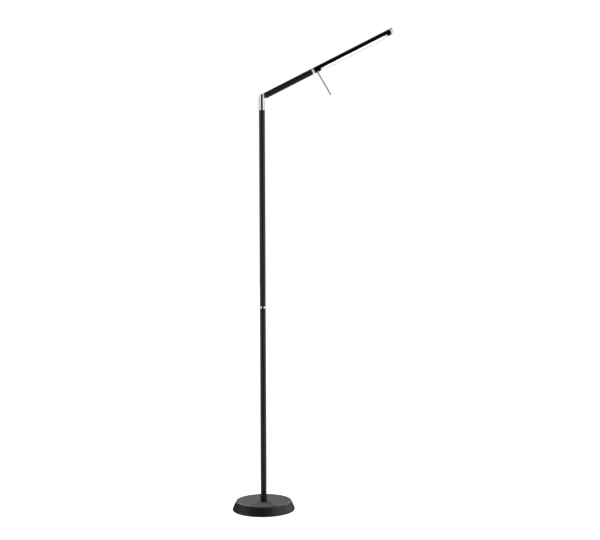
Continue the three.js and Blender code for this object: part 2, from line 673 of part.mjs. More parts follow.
function buildLens() {
  const w = LENS_WALL;
  const outer = trough(LENS_HALF_Y, LENS_Z, LENS_TOP_Z, LENS_X[0], LENS_X[1], LENS_SLANT);
  const innerX = [LENS_X[0] + w, LENS_X[1] - w];
  const inner = trough(LENS_HALF_Y - w, LENS_Z + w, LENS_TOP_Z + w, innerX[0], innerX[1], LENS_SLANT);
  piece(head, "led_lens", cut(outer, inner), LENS);

  const clips = [
    ["lens_clip_near", SLOT_X[0] + GAP, LENS_X[0] - GAP],
    ["lens_clip_far", LENS_X[1] + GAP, SLOT_X[1] - GAP],
  ];
  for (const [name, from, to] of clips) {
    const half = SLOT_HALF_Y - GAP;
    const bounds = block(from, to, -half, half, -FAR, CLIP_TOP_Z);
    piece(head, name, common(ring(TUBE_R, 0, from, to, "x"), bounds), ALUMINIUM);
  }
}

function buildLight() {
  const [from, to] = CARRIER_X;
  const { halfWidth, floor } = WIRE_GROOVE;
  const under = block(from - FAR, to + FAR, -FAR, FAR, -FAR, BOARD_Z[1] + FIT);
  const wireGroove = block(from - FAR, to + FAR, -halfWidth, halfWidth, floor, FAR);
  piece(head, "led_carrier", cut(ring(HEAD_PLUG_R, 0, from, to, "x"), under, wireGroove), ALUMINIUM);

  const boardX = [from + BOARD_INSET, to - BOARD_INSET];
  let board = solidOf(block(boardX[0], boardX[1], -BOARD_HALF_Y, BOARD_HALF_Y, BOARD_Z[0], BOARD_Z[1]));
  const pitch = (boardX[1] - boardX[0]) / CHIPS;
  for (let i = 0; i < CHIPS; i++) {
    const chip = block(0, CHIP.length, -CHIP.width / 2, CHIP.width / 2, -CHIP.height, GAP);
    chip.translate(boardX[0] + pitch * (i + 0.5) - CHIP.length / 2, 0, BOARD_Z[0]);
    board = board.add(solidOf(chip));
  }
  piece(head, "led_board", geometryOf(board), WHITE_PLASTIC);
}

// The hole for a screw on the head's top, as a tool.
function screwHole({ x, holeFloor }) {
  return ring(HEAD_SCREW.radius + FIT, 0, holeFloor, FAR, "z", ROUND_TINY).translate(x, 0, 0);
}

function headScrew(name, { x, tip }) {
  const [capStart, capEnd] = HEAD_SCREW.head;
  const shank = ring(HEAD_SCREW.radius, 0, tip, HEAD_SCREW.socketFloor, "z", ROUND_TINY);
  const cap = ring(HEAD_SCREW.headR, 0, capStart, capEnd, "z", ROUND_TINY);
  const socket = ring(HEAD_SCREW.socketR, 0, HEAD_SCREW.socketFloor, FAR, "z", HEXAGON);
  piece(head, name, cut(join(shank, cap), socket).translate(x, 0, 0), BLACK_STEEL);
}

function buildPlug() {
  const cuts = [
    block(SLOT_X[0] - GAP, HEAD_PLUG_END_X + FAR, -FAR, FAR, -FAR, LENS_TOP_Z),
    ring(STUD_BORE_R, 0, HEAD_X, HEAD_PLUG_END_X + FAR, "x", ROUND_SMALL),
    ring(ROLL_SPIGOT_R + FIT, 0, HEAD_X, SPIGOT_TIP_X + GAP, "x", ROUND_SMALL),
    rodTool(),
    screwHole(NEAR_SCREW),
  ];
  const blank = ring(HEAD_PLUG_R, 0, HEAD_X + GAP, HEAD_PLUG_END_X, "x");
  piece(head, "head_plug", cut(blank, ...cuts), ALUMINIUM);
}

function buildEndCap() {
  const cuts = [
    ring(DIMMER_R + GAP, 0, SLOT_X[1] - FAR, DIMMER_X[1] + GAP, "x", ROUND_SMALL),
    ring(SHAFT_R + GAP, 0, SLOT_X[1] - FAR, HEAD_END_X + FAR, "x", ROUND_SMALL),
    screwHole(FAR_SCREW),
  ];
  const blank = ring(HEAD_PLUG_R, 0, SLOT_X[1] + GAP, HEAD_END_X, "x");
  piece(head, "head_end_cap", cut(blank, ...cuts), NYLON);
  piece(head, "dimmer_body", ring(DIMMER_R, 0, DIMMER_X[0], DIMMER_X[1], "x", ROUND_SMALL), NYLON);
}

// The lamp wire rises from the plug into the carrier's groove and runs to the dimmer.
function buildLampWire() {
  const path = [
    [HEAD_PLUG_END_X - 9, 0],
    [HEAD_PLUG_END_X - 4, 0],
    [HEAD_PLUG_END_X, 0.5],
    [HEAD_PLUG_END_X + 4, 3.2],
    [HEAD_PLUG_END_X + 8, LAMP_WIRE_Z - 0.4],
    [HEAD_PLUG_END_X + 14, LAMP_WIRE_Z],
    [CARRIER_X[1] - 4, LAMP_WIRE_Z],
  ];
  const wire = new THREE.ExtrudeGeometry(new THREE.Shape().absarc(0, 0, LAMP_WIRE_R, 0, 2 * Math.PI), {
    steps: 5 * ROUND_WIRE,
    curveSegments: ROUND_WIRE / 2,
    bevelEnabled: false,
    extrudePath: new THREE.CatmullRomCurve3(path.map(([x, z]) => new THREE.Vector3(x, 0, z))),
  });
  piece(head, "head_wire", wire, WIRE);
}

function buildHead() {
  piece(head, "head_housing", housing(), GLOSS_BLACK);
  buildSpigot();
  buildPlug();
  buildRod();
  buildLight();
  buildLens();
  buildEndCap();
  headScrew("head_screw_near", NEAR_SCREW);
  headScrew("head_screw_far", FAR_SCREW);
  buildLampWire();
}

// ---------------------------------------------------------------------------------------------------
// Dimmer knob on the tip, turning on the dimmer's shaft
// ---------------------------------------------------------------------------------------------------

const KNOB_R = 10.4;
const KNOB_X = HEAD_END_X + 0.5;
const KNOB_EDGES = { near: 0.8, far: 1.2 };
const KNOB_SCREW_R = 1.1;
const SHAFT_END_X = KNOB_END_X - 2.5;

function buildKnob() {
  const blank = turned(
    [
      [0, KNOB_X],
      [KNOB_R - KNOB_EDGES.near, KNOB_X],
      [KNOB_R, KNOB_X + KNOB_EDGES.near],
      [KNOB_R, KNOB_END_X - KNOB_EDGES.far],
      [KNOB_R - KNOB_EDGES.far, KNOB_END_X],
      [0, KNOB_END_X],
    ],
    "x",
  );
  const screwX = (KNOB_X + KNOB_END_X) / 2;
  const shaftHole = ring(SHAFT_R + FIT, 0, KNOB_X - FAR, SHAFT_END_X + GAP, "x", ROUND_SMALL);
  const grubHole = ring(KNOB_SCREW_R + FIT, 0, -FAR, -SHAFT_R, "z", ROUND_TINY);
  const knob = cut(blank, shaftHole, grubHole.translate(screwX, 0, 0));
  piece(head, "dimmer_knob", knob, ALUMINIUM);
  const shaft = ring(SHAFT_R, 0, DIMMER_X[1] + GAP, SHAFT_END_X, "x", ROUND_SMALL);
  piece(head, "dimmer_shaft", shaft, ALUMINIUM);
  const grub = ring(KNOB_SCREW_R, 0, KNOB_EDGES.near - KNOB_R, -SHAFT_R - GAP, "z", ROUND_TINY);
  piece(head, "knob_set_screw", grub.translate(screwX, 0, 0), BLACK_STEEL);
}

buildCover();
buildWeight();
buildInlet();
buildPole();
buildSwivel();
buildPost();
buildHingeScrew();
buildArm();
buildHead();
buildKnob();

export default root;
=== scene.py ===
# Looks of the pharmacy floor lamp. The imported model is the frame: every visible piece is rebuilt here
# as a smooth, bevelled mesh in the place and size of its CAD node, and the pieces that stay hidden
# inside keep the CAD mesh with a better material. Lengths are metres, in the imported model's own frame:
# +Z up, the arm towards +X, the viewer at -Y.

import json
import math

import bmesh
import bpy
from mathutils import Matrix, Vector


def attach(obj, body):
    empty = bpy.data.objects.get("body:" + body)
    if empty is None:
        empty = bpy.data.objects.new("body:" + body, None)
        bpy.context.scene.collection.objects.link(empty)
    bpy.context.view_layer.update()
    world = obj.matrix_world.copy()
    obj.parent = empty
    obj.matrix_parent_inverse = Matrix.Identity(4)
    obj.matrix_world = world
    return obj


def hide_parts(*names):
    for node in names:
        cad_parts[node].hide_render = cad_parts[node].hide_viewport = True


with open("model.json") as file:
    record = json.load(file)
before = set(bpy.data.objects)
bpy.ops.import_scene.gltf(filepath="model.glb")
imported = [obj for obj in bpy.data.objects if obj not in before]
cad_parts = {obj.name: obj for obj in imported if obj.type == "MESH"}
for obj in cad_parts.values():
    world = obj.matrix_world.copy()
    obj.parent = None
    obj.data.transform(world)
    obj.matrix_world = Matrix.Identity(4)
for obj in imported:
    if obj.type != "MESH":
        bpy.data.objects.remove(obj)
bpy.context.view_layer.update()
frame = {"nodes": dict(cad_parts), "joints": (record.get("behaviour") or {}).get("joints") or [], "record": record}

MM = 0.001
SEAM = 0.3 * MM  # the gap that the CAD leaves between touching pieces
WELD = 1e-6  # corners nearer to each other than this are one corner

RECORD = frame["record"]
SLOT_OF = {row["node"]: row["material_slot"] for row in RECORD["subparts"]}
BODY_OF = {node: body for body, nodes in RECORD["behaviour"]["bodies"].items() for node in nodes}
JOINTS = {joint["name"]: joint for joint in frame["joints"]}


# --------------------------------------------------------------------
# Places: the local axes that the lamp's turned parts are built in
# --------------------------------------------------------------------


def place(origin, x_axis, y_axis):
    """The matrix whose X and Y axes point as given, with its origin there."""
    z_axis = x_axis.cross(y_axis)
    turn = Matrix((x_axis, y_axis, z_axis)).transposed()
    return Matrix.Translation(origin) @ turn.to_4x4()


def centre_of(node):
    """The mean of a CAD node's corners."""
    points = [v.co for v in frame["nodes"][node].data.vertices]
    return sum(points, Vector()) / len(points)


PIVOT = Vector(JOINTS["arm_tilt"]["pos_m"])
ARM_AXIS = Vector(JOINTS["head_roll"]["axis"]).normalized()
UPRIGHT = Matrix.Identity(4)
ARM = place(PIVOT, ARM_AXIS, Vector((0, 1, 0)))

# The head is rolled about the arm's axis, and its rod hangs along the head's own -Z.
to_rod = centre_of("handle_rod") - PIVOT
HEAD_UP = -(to_rod - to_rod.dot(ARM_AXIS) * ARM_AXIS).normalized()
HEAD = place(PIVOT, ARM_AXIS, HEAD_UP.cross(ARM_AXIS))

# A turned piece's own Z axis is sent to X or Y of its place.
Z_TO_X = Matrix.Rotation(math.pi / 2, 4, "Y")
Z_TO_Y = Matrix.Rotation(-math.pi / 2, 4, "X")


def span(node, where=UPRIGHT):
    """Lowest and highest corner of a CAD node in a place's own axes."""
    inverse = where.inverted()
    points = [inverse @ v.co for v in frame["nodes"][node].data.vertices]
    low = Vector([min(p[i] for p in points) for i in range(3)])
    high = Vector([max(p[i] for p in points) for i in range(3)])
    return low, high


def radii(node, where=UPRIGHT):
    """Smallest and largest distance of a CAD node's corners from the Z axis of a place."""
    inverse = where.inverted()
    points = [inverse @ v.co for v in frame["nodes"][node].data.vertices]
    distances = [math.hypot(p.x, p.y) for p in points]
    return min(distances), max(distances)


def beside(where, node):
    """A place moved along its X axis until it is level with a CAD node."""
    x = (where.inverted() @ centre_of(node)).x
    return where @ Matrix.Translation((x, 0, 0))


# --------------------------------------------------------------------
# Mesh helpers
# --------------------------------------------------------------------


def rounded(corners, closed=True, steps=5):
    """An outline of (x, y, radius) corners as points, with each corner of some radius turned into an
    arc. A support point beside each arc keeps the shading of the straight stretches flat."""
    longest_setback = 0.45
    support = 1.2
    points = []
    count = len(corners)
    for i, (x, y, radius) in enumerate(corners):
        here = Vector((x, y))
        if radius <= 0 or (not closed and i in (0, count - 1)):
            points.append(here)
            continue
        before = Vector(corners[i - 1][:2]) - here
        after = Vector(corners[(i + 1) % count][:2]) - here
        half = before.angle(after) / 2
        room = longest_setback * min(before.length, after.length)
        setback = min(radius / math.tan(half), room)
        radius = setback * math.tan(half)
        before.normalize()
        after.normalize()
        centre = here + (before + after).normalized() * radius / math.sin(half)
        start = here + before * setback - centre
        end = here + after * setback - centre
        points.append(here + before * setback * support)
        sweep = start.angle(end)
        for k in range(steps + 1):
            t = k / steps
            blend = start * math.sin((1 - t) * sweep) + end * math.sin(t * sweep)
            points.append(centre + blend / math.sin(sweep))
        points.append(here + after * setback * support)
    return [(p.x, p.y) for p in points]


def hexagon_factor(angle):
    """How far a hexagon's side is from its middle at an angle, when its corners are at 1."""
    sixth = math.pi / 3
    return math.cos(sixth / 2) / math.cos(angle % sixth - sixth / 2)


def mesh_object(name, bm, smooth=True):
    """A new object in the scene with the mesh, whose faces all look outwards."""
    bmesh.ops.recalc_face_normals(bm, faces=bm.faces[:])
    for face in bm.faces:
        face.smooth = smooth
    mesh = bpy.data.meshes.new(name)
    bm.to_mesh(mesh)
    bm.free()
    obj = bpy.data.objects.new(name, mesh)
    bpy.context.scene.collection.objects.link(obj)
    return obj


def turned(name, outline, where=UPRIGHT, sides=96, closed=True, hexagonal=()):
    """An outline of (radius, height) points turned about the Z axis of a place. A closed outline makes
    a ring, and an open one starts and ends on the axis. The points whose index is in hexagonal lie on
    a hexagon."""
    bm = bmesh.new()
    rings = []
    for i, (radius, height) in enumerate(outline):
        if radius < WELD:
            rings.append([bm.verts.new(where @ Vector((0, 0, height)))])
            continue
        ring = []
        for k in range(sides):
            angle = 2 * math.pi * k / sides
            reach = radius * (hexagon_factor(angle) if i in hexagonal else 1)
            point = Vector((reach * math.cos(angle), reach * math.sin(angle), height))
            ring.append(bm.verts.new(where @ point))
        rings.append(ring)
    pairs = list(zip(rings, rings[1:] + rings[:1] if closed else rings[1:]))
    for a, b in pairs:
        for k in range(sides):
            n = (k + 1) % sides
            corners = [a[k % len(a)], a[n % len(a)], b[n % len(b)], b[k % len(b)]]
            corners = list(dict.fromkeys(corners))
            if len(corners) > 2:
                bm.faces.new(corners)
    return mesh_object(name, bm)


def extruded(name, outline, low, high, where, bevel):
    """An outline of (y, z) points drawn out along the X axis of a place, with its end edges bevelled."""
    bm = bmesh.new()
    ends = [[bm.verts.new((x, y, z)) for y, z in outline] for x in (low, high)]
    bm.faces.new(list(reversed(ends[0])))
    bm.faces.new(ends[1])
    for k in range(len(outline)):
        n = (k + 1) % len(outline)
        bm.faces.new((ends[0][k], ends[0][n], ends[1][n], ends[1][k]))
    rims = [e for e in bm.edges if abs(e.verts[0].co.x - e.verts[1].co.x) < WELD]
    bmesh.ops.bevel(bm, geom=rims, offset=bevel, segments=2, profile=0.5, affect="EDGES")
    bm.transform(where)
    return mesh_object(name, bm)


def block(name, low, high, where=UPRIGHT):
    """A plain box between two corners, used only as a cutter."""
    bm = bmesh.new()
    bmesh.ops.create_cube(bm, size=1)
    size = Vector(high) - Vector(low)
    middle = (Vector(high) + Vector(low)) / 2
    bm.transform(where @ Matrix.Translation(middle) @ Matrix.Diagonal((*size, 1)))
    return mesh_object(name, bm, smooth=False)


def bar(name, radius, low, high, where=UPRIGHT, sides=48):
    """A plain round bar, used only as a cutter."""
    return turned(name, [(0, low), (radius, low), (radius, high), (0, high)], where, sides, closed=False)


def combine(obj, tools, operation="DIFFERENCE"):
    """Cuts, joins or intersects an object with others, which are used up."""
    for tool in tools:
        modifier = obj.modifiers.new("combine", "BOOLEAN")
        modifier.operation = operation
        modifier.solver = "EXACT"
        modifier.object = tool
        bpy.context.view_layer.update()
        depsgraph = bpy.context.evaluated_depsgraph_get()
        result = bpy.data.meshes.new_from_object(obj.evaluated_get(depsgraph))
        obj.modifiers.clear()
        old = obj.data
        obj.data = result
        bpy.data.meshes.remove(old)
        bpy.data.objects.remove(tool)


def soften_edges(obj, width, angle, keep):
    """Bevels the edges that are sharper than an angle and that keep says to, and shades them smooth."""
    bm = bmesh.new()
    bm.from_mesh(obj.data)
    bmesh.ops.remove_doubles(bm, verts=bm.verts[:], dist=WELD)
    limit = math.radians(angle)
    sharp = [e for e in bm.edges if e.is_manifold and e.calc_face_angle(0) > limit and keep(e)]
    bmesh.ops.bevel(
        bm, geom=sharp, offset=width, segments=2, profile=0.5, affect="EDGES", clamp_overlap=True
    )
    for face in bm.faces:
        face.smooth = True
    bm.to_mesh(obj.data)
    bm.free()
    obj.data.update()


def crisp(obj, angle=40):
    """Drops faces of no area, and shades smooth up to an angle between faces and sharp beyond it."""
    mesh = obj.data
    bm = bmesh.new()
    bm.from_mesh(mesh)
    bmesh.ops.remove_doubles(bm, verts=bm.verts[:], dist=WELD)
    bmesh.ops.dissolve_degenerate(bm, edges=bm.edges[:], dist=WELD)
    limit = math.radians(angle)
    for edge in bm.edges:
        edge.smooth = not (edge.is_manifold and edge.calc_face_angle(0) > limit)
    bm.to_mesh(mesh)
    bm.free()
    return obj


def weighted(obj):
    """Lets the large faces rule the shading beside small bevels."""
    modifier = obj.modifiers.new("weighted normals", "WEIGHTED_NORMAL")
    modifier.keep_sharp = True
    return obj


# --------------------------------------------------------------------
# Materials, one for each material slot of the record, and a satin version of the chrome
# --------------------------------------------------------------------


NOISE_LOW = 0.3  # nearly all of a noise's values lie between these
NOISE_HIGH = 0.7


class Look:
    """A material's node tree, with short calls to add to it."""

    def __init__(self, name, **sockets):
        self.material = bpy.data.materials.new(name)
        self.material.use_nodes = True
        self.tree = self.material.node_tree
        self.shader = self.tree.nodes["Principled BSDF"]
        for socket, value in sockets.items():
            self.shader.inputs[socket.replace("_", " ")].default_value = value
        self.bump_tail = None

    def add(self, kind, **settings):
        node = self.tree.nodes.new(kind)
        for key, value in settings.items():
            setattr(node, key, value)
        return node

    def link(self, output, target):
        self.tree.links.new(output, target)

    def coordinates(self, where=UPRIGHT, stretch=(1, 1, 1)):
        """Object coordinates in the axes of a place, stretched along them."""
        source = self.add("ShaderNodeTexCoord")
        turn = self.add("ShaderNodeMapping")
        turn.inputs["Rotation"].default_value = where.to_3x3().inverted().to_euler()
        scale = self.add("ShaderNodeMapping")
        scale.inputs["Scale"].default_value = stretch
        self.link(source.outputs["Object"], turn.inputs["Vector"])
        self.link(turn.outputs["Vector"], scale.inputs["Vector"])
        return scale.outputs["Vector"]

    def head_position(self):
        """A point's X, Y and Z in the head's directions, measured from the frame's origin."""
        parts = self.add("ShaderNodeSeparateXYZ")
        self.link(self.coordinates(HEAD), parts.inputs[0])
        return parts.outputs

    def noise(self, vector, size, detail=3.0):
        """Noise whose features are about the given size."""
        node = self.add("ShaderNodeTexNoise")
        node.inputs["Scale"].default_value = 1 / size
        node.inputs["Detail"].default_value = detail
        node.inputs["Roughness"].default_value = 0.55
        self.link(vector, node.inputs["Vector"])
        return node.outputs["Fac"]

    def ramp(self, value, low, high):
        """A noise spread over two colours."""
        node = self.add("ShaderNodeValToRGB")
        node.color_ramp.elements[0].position = NOISE_LOW
        node.color_ramp.elements[0].color = (*low, 1)
        node.color_ramp.elements[1].position = NOISE_HIGH
        node.color_ramp.elements[1].color = (*high, 1)
        self.link(value, node.inputs["Fac"])
        return node.outputs["Color"]

    def spread(self, value, low, high, start=NOISE_LOW, end=NOISE_HIGH):
        """A value from start to end, spread between two numbers."""
        node = self.add("ShaderNodeMapRange")
        node.inputs["From Min"].default_value = start
        node.inputs["From Max"].default_value = end
        node.inputs["To Min"].default_value = low
        node.inputs["To Max"].default_value = high
        self.link(value, node.inputs["Value"])
        return node.outputs["Result"]

    def multiply(self, a, b):
        node = self.add("ShaderNodeMath", operation="MULTIPLY")
        self.link(a, node.inputs[0])
        self.link(b, node.inputs[1])
        return node.outputs[0]

    def colour(self, output):
        self.link(output, self.shader.inputs["Base Color"])

    def roughness(self, output):
        self.link(output, self.shader.inputs["Roughness"])

    def bump(self, height, depth):
        """Adds a bump of a depth on top of those added before."""
        node = self.add("ShaderNodeBump")
        node.inputs["Strength"].default_value = 1.0
        node.inputs["Distance"].default_value = depth
        self.link(height, node.inputs["Height"])
        if self.bump_tail is not None:
            self.link(self.bump_tail, node.inputs["Normal"])
        self.bump_tail = node.outputs["Normal"]
        self.link(self.bump_tail, self.shader.inputs["Normal"])


def black_powder_coat():
    """Satin black powder coat: an orange-peel swell with a very fine grain over it."""
    look = Look("black_powder_coat", IOR=1.5)
    where = look.coordinates()
    peel = look.noise(where, 1.6 * MM, detail=2)
    grain = look.noise(where, 0.22 * MM, detail=2)
    cloud = look.noise(where, 45 * MM, detail=4)
    look.colour(look.ramp(cloud, (0.0105, 0.0105, 0.011), (0.0165, 0.0165, 0.017)))
    look.roughness(look.spread(cloud, 0.36, 0.44))
    look.bump(peel, 0.012 * MM)
    look.bump(grain, 0.004 * MM)
    return look.material


def black_lacquer():
    """Smooth black lacquer on extruded aluminium, with faint drawing lines along the head."""
    look = Look("black_lacquer", IOR=1.38)
    along = look.coordinates(HEAD, stretch=(0.02, 1, 1))
    lines = look.noise(along, 0.35 * MM, detail=3)
    cloud = look.noise(look.coordinates(), 30 * MM)
    look.colour(look.ramp(cloud, (0.0015, 0.0015, 0.0017), (0.003, 0.003, 0.0033)))
    look.roughness(look.spread(cloud, 0.17, 0.23))
    look.bump(lines, 0.002 * MM)
    return look.material


def chrome_plate():
    """Bright chrome with faint polishing haze."""
    look = Look("chrome_plate", Metallic=1.0)
    where = look.coordinates()
    haze = look.noise(where, 6 * MM, detail=5)
    swirl = look.noise(where, 0.5 * MM, detail=2)
    look.colour(look.ramp(haze, (0.80, 0.805, 0.815), (0.86, 0.862, 0.868)))
    look.roughness(look.spread(haze, 0.035, 0.085))
    look.bump(swirl, 0.0006 * MM)
    return look.material


def plain_metal(name, low, high, roughness, grain, depth, metallic=1.0):
    """Machined or plated metal with a fine grain and a mottled shine."""
    look = Look(name, Metallic=metallic)
    where = look.coordinates()
    mottle = grain * 12
    fine = look.noise(where, grain, detail=4)
    broad = look.noise(where, mottle, detail=4)
    look.colour(look.ramp(broad, low, high))
    look.roughness(look.spread(broad, roughness - 0.05, roughness + 0.07))
    look.bump(fine, depth)
    return look.material


def moulded(name, low, high, roughness, grain, depth):
    """Moulded plastic or rubber with a spark-eroded grain."""
    look = Look(name, IOR=1.48)
    where = look.coordinates()
    fine = look.noise(where, grain, detail=3)
    broad = look.noise(where, 12 * MM, detail=3)
    look.colour(look.ramp(broad, low, high))
    look.roughness(look.spread(fine, roughness - 0.06, roughness + 0.06))
    look.bump(fine, depth)
    return look.material


# How far the tilt pivot is from the frame's origin along each of the head's directions.
PIVOT_ALONG_HEAD = HEAD.to_3x3().inverted() @ PIVOT


def frosted_acrylic():
    """Frosted white acrylic, lit from inside by the strip of lights behind it. The glow fades towards
    both ends, partly as the strip's light thins out and partly as painted shade on the domed ends, and it
    fades out near the lens's lowest line as a painted shade along the lens's outline."""
    look = Look("frosted_acrylic", IOR=1.49, Subsurface_Weight=0.35, Subsurface_Scale=0.002)
    look.shader.inputs["Subsurface Radius"].default_value = (1.0, 1.0, 1.0)
    where = look.coordinates()
    frost = look.noise(where, 0.18 * MM, detail=2)
    cloud = look.noise(where, 20 * MM)
    look.colour(look.ramp(cloud, (0.7, 0.7, 0.695), (0.75, 0.75, 0.745)))
    look.roughness(look.spread(frost, 0.38, 0.5))
    look.bump(frost, 0.003 * MM)
    look.shader.inputs["Emission Color"].default_value = (1.0, 0.995, 0.98, 1)
    brightness = 0.75
    # The glow at the very ends: partly the strip's own fall-off, partly painted shade on the domed ends.
    end_level_with_painted_shade = 0.35
    end_fade = 9 * MM
    # Within this height of the lowest line the glow drops to nothing: a painted shade along the lens's outline.
    painted_shade_skin = 0.8 * MM
    lit_skin = 3.0 * MM
    low, high = span("led_lens", HEAD)
    near = low.x + PIVOT_ALONG_HEAD.x
    far = high.x + PIVOT_ALONG_HEAD.x
    bottom = low.z + PIVOT_ALONG_HEAD.z
    along, _, height = look.head_position()
    start = look.spread(along, end_level_with_painted_shade, 1.0, near, near + end_fade)
    end = look.spread(along, 1.0, end_level_with_painted_shade, far - end_fade, far)
    skin = look.spread(height, 0.0, 1.0, bottom + painted_shade_skin, bottom + lit_skin)
    # The LED glow, with the painted shade at the ends and along the lowest line multiplied in.
    glow_with_painted_shade = look.multiply(look.multiply(start, end), skin)
    strength = look.spread(glow_with_painted_shade, 0, brightness, 0, 1)
    look.link(strength, look.shader.inputs["Emission Strength"])
    return look.material


def board_face():
    """White solder mask on a circuit board, with yellow phosphor on the chips' faces."""
    look = Look("board_face", IOR=1.5, Roughness=0.45)
    chip_depth = 1.35 * MM
    board_top = span("led_board", HEAD)[1].z
    chip_edge = board_top - chip_depth + PIVOT_ALONG_HEAD.z
    blur = 0.02 * MM
    height = look.head_position()[2]
    phosphor = look.spread(height, 1, 0, chip_edge - blur, chip_edge + blur)
    mix = look.add("ShaderNodeMix", data_type="RGBA")
    mix.inputs["A"].default_value = (0.82, 0.82, 0.79, 1)
    mix.inputs["B"].default_value = (0.85, 0.62, 0.08, 1)
    look.link(phosphor, mix.inputs["Factor"])
    look.colour(mix.outputs["Result"])
    look.bump(look.noise(look.coordinates(HEAD), 0.4 * MM), 0.004 * MM)
    return look.material


MATERIALS = {
    "black_paint": black_powder_coat(),
    "gloss_black": black_lacquer(),
    "chrome": chrome_plate(),
    "satin_chrome": plain_metal(
        "satin_chrome", (0.94, 0.945, 0.95), (0.97, 0.97, 0.975),
        roughness=0.33, grain=0.12 * MM, depth=0.002 * MM, metallic=0.3,
    ),
    "steel": plain_metal(
        "zinc_plate", (0.66, 0.66, 0.65), (0.76, 0.76, 0.74),
        roughness=0.32, grain=0.3 * MM, depth=0.004 * MM,
    ),
    "black_steel": plain_metal(
        "black_oxide", (0.018, 0.018, 0.02), (0.032, 0.032, 0.034),
        roughness=0.36, grain=0.2 * MM, depth=0.003 * MM,
    ),
    "cast_iron": plain_metal(
        "cast_iron", (0.07, 0.068, 0.065), (0.13, 0.125, 0.12),
        roughness=0.72, grain=0.9 * MM, depth=0.12 * MM, metallic=0.6,
    ),
    "aluminium": plain_metal(
        "blasted_aluminium", (0.94, 0.94, 0.94), (0.97, 0.97, 0.97),
        roughness=0.42, grain=0.12 * MM, depth=0.003 * MM, metallic=0.25,
    ),
    "black_plastic": moulded(
        "black_nylon", (0.012, 0.012, 0.013), (0.02, 0.02, 0.021),
        roughness=0.5, grain=0.3 * MM, depth=0.008 * MM,
    ),
    "circuit_board": board_face(),
    "frosted_lens": frosted_acrylic(),
    "rubber": moulded(
        "black_rubber", (0.014, 0.014, 0.014), (0.026, 0.026, 0.026),
        roughness=0.8, grain=0.5 * MM, depth=0.03 * MM,
    ),
    "wire_jacket": moulded(
        "wire_jacket", (0.02, 0.02, 0.021), (0.035, 0.035, 0.036),
        roughness=0.45, grain=0.4 * MM, depth=0.006 * MM,
    ),
}


def stands_for(obj, node, finish=None):
    """Gives a piece its node's body, material slot and material, or another finish, and hides the node."""
    obj.data.materials.clear()
    obj.data.materials.append(MATERIALS[finish or SLOT_OF[node]])
    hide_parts(node)
    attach(obj, BODY_OF[node])
    return obj


# --------------------------------------------------------------------
# Base and pole
# --------------------------------------------------------------------

COVER_WALL = 1.6 * MM
COVER_EDGE_R = 1.7 * MM  # rounding of the rim
COVER_BOTTOM_Z, COVER_TOP_Z = (corner.z for corner in span("base_cover"))
COVER_HOLE_R, COVER_R = radii("base_cover")


def slope_points():
    """The radius and height where the cover's slope starts and ends, read off the CAD node."""
    digits = 5
    slack = 0.05 * MM
    least_rise = 5 * MM
    least_radius = 0.85 * COVER_R
    corners = set()
    for vertex in frame["nodes"]["base_cover"].data.vertices:
        radius = math.hypot(vertex.co.x, vertex.co.y)
        corners.add((round(radius, digits), round(vertex.co.z, digits)))
    widest = [c for c in corners if c[0] > COVER_R - slack]
    foot = max(widest, key=lambda c: c[1])
    rise = [c for c in corners if c[1] > foot[1] + least_rise and c[0] > least_radius]
    head = max(rise, key=lambda c: (c[0], -c[1]))
    return foot, head


(SLOPE_FOOT_R, SLOPE_FOOT_Z), (SLOPE_HEAD_R, SLOPE_HEAD_Z) = slope_points()
SLOPE = (SLOPE_HEAD_R - SLOPE_FOOT_R) / (SLOPE_HEAD_Z - SLOPE_FOOT_Z)


def slope_radius(z):
    """The cover's radius at a height on its slope."""
    return SLOPE_FOOT_R + SLOPE * (z - SLOPE_FOOT_Z)


INLET_NECK_R = 5.0 * MM


def base_cover():
    """The pressed cover: a thin shell with a sloping side, a rounded rim and the cord's inlet hole."""
    top = COVER_TOP_Z
    edge = SLOPE_HEAD_R + SLOPE * (top - SLOPE_HEAD_Z)
    inner_edge = edge - COVER_WALL - 0.8 * MM
    outline = rounded(
        [
            (COVER_R - COVER_WALL, COVER_BOTTOM_Z, 0.3 * MM),
            (COVER_R, COVER_BOTTOM_Z, 0.5 * MM),
            (COVER_R, SLOPE_FOOT_Z, 1.0 * MM),
            (edge, top, COVER_EDGE_R),
            (COVER_HOLE_R, top, 0.3 * MM),
            (COVER_HOLE_R, top - COVER_WALL, 0.3 * MM),
            (inner_edge, top - COVER_WALL, 1.6 * MM),
            (COVER_R - COVER_WALL, SLOPE_FOOT_Z, 0.8 * MM),
        ],
        steps=8,
    )
    cover = turned("base_cover_shell", outline, sides=224)
    low, high = span("cord_inlet_bush")
    inlet = Matrix.Translation((0, 0, (low.z + high.z) / 2)) @ Z_TO_Y
    hole_r = INLET_NECK_R + SEAM
    combine(cover, [bar("inlet_hole", hole_r, COVER_R * 0.8, COVER_R * 1.1, inlet)])
    crisp(cover, 30)
    return stands_for(weighted(cover), "base_cover")


def solid_bar(name, node, where, foot_edge, head_edge, steps, sides):
    """A solid round piece about the Z axis of a place, with both edges rounded."""
    radius = radii(node, where)[1]
    low, high = span(node, where)
    outline = rounded(
        [
            (0, low.z, 0),
            (radius, low.z, foot_edge),
            (radius, high.z, head_edge),
            (0, high.z, 0),
        ],
        closed=False,
        steps=steps,
    )
    return stands_for(turned(name, outline, where, sides, closed=False), node)


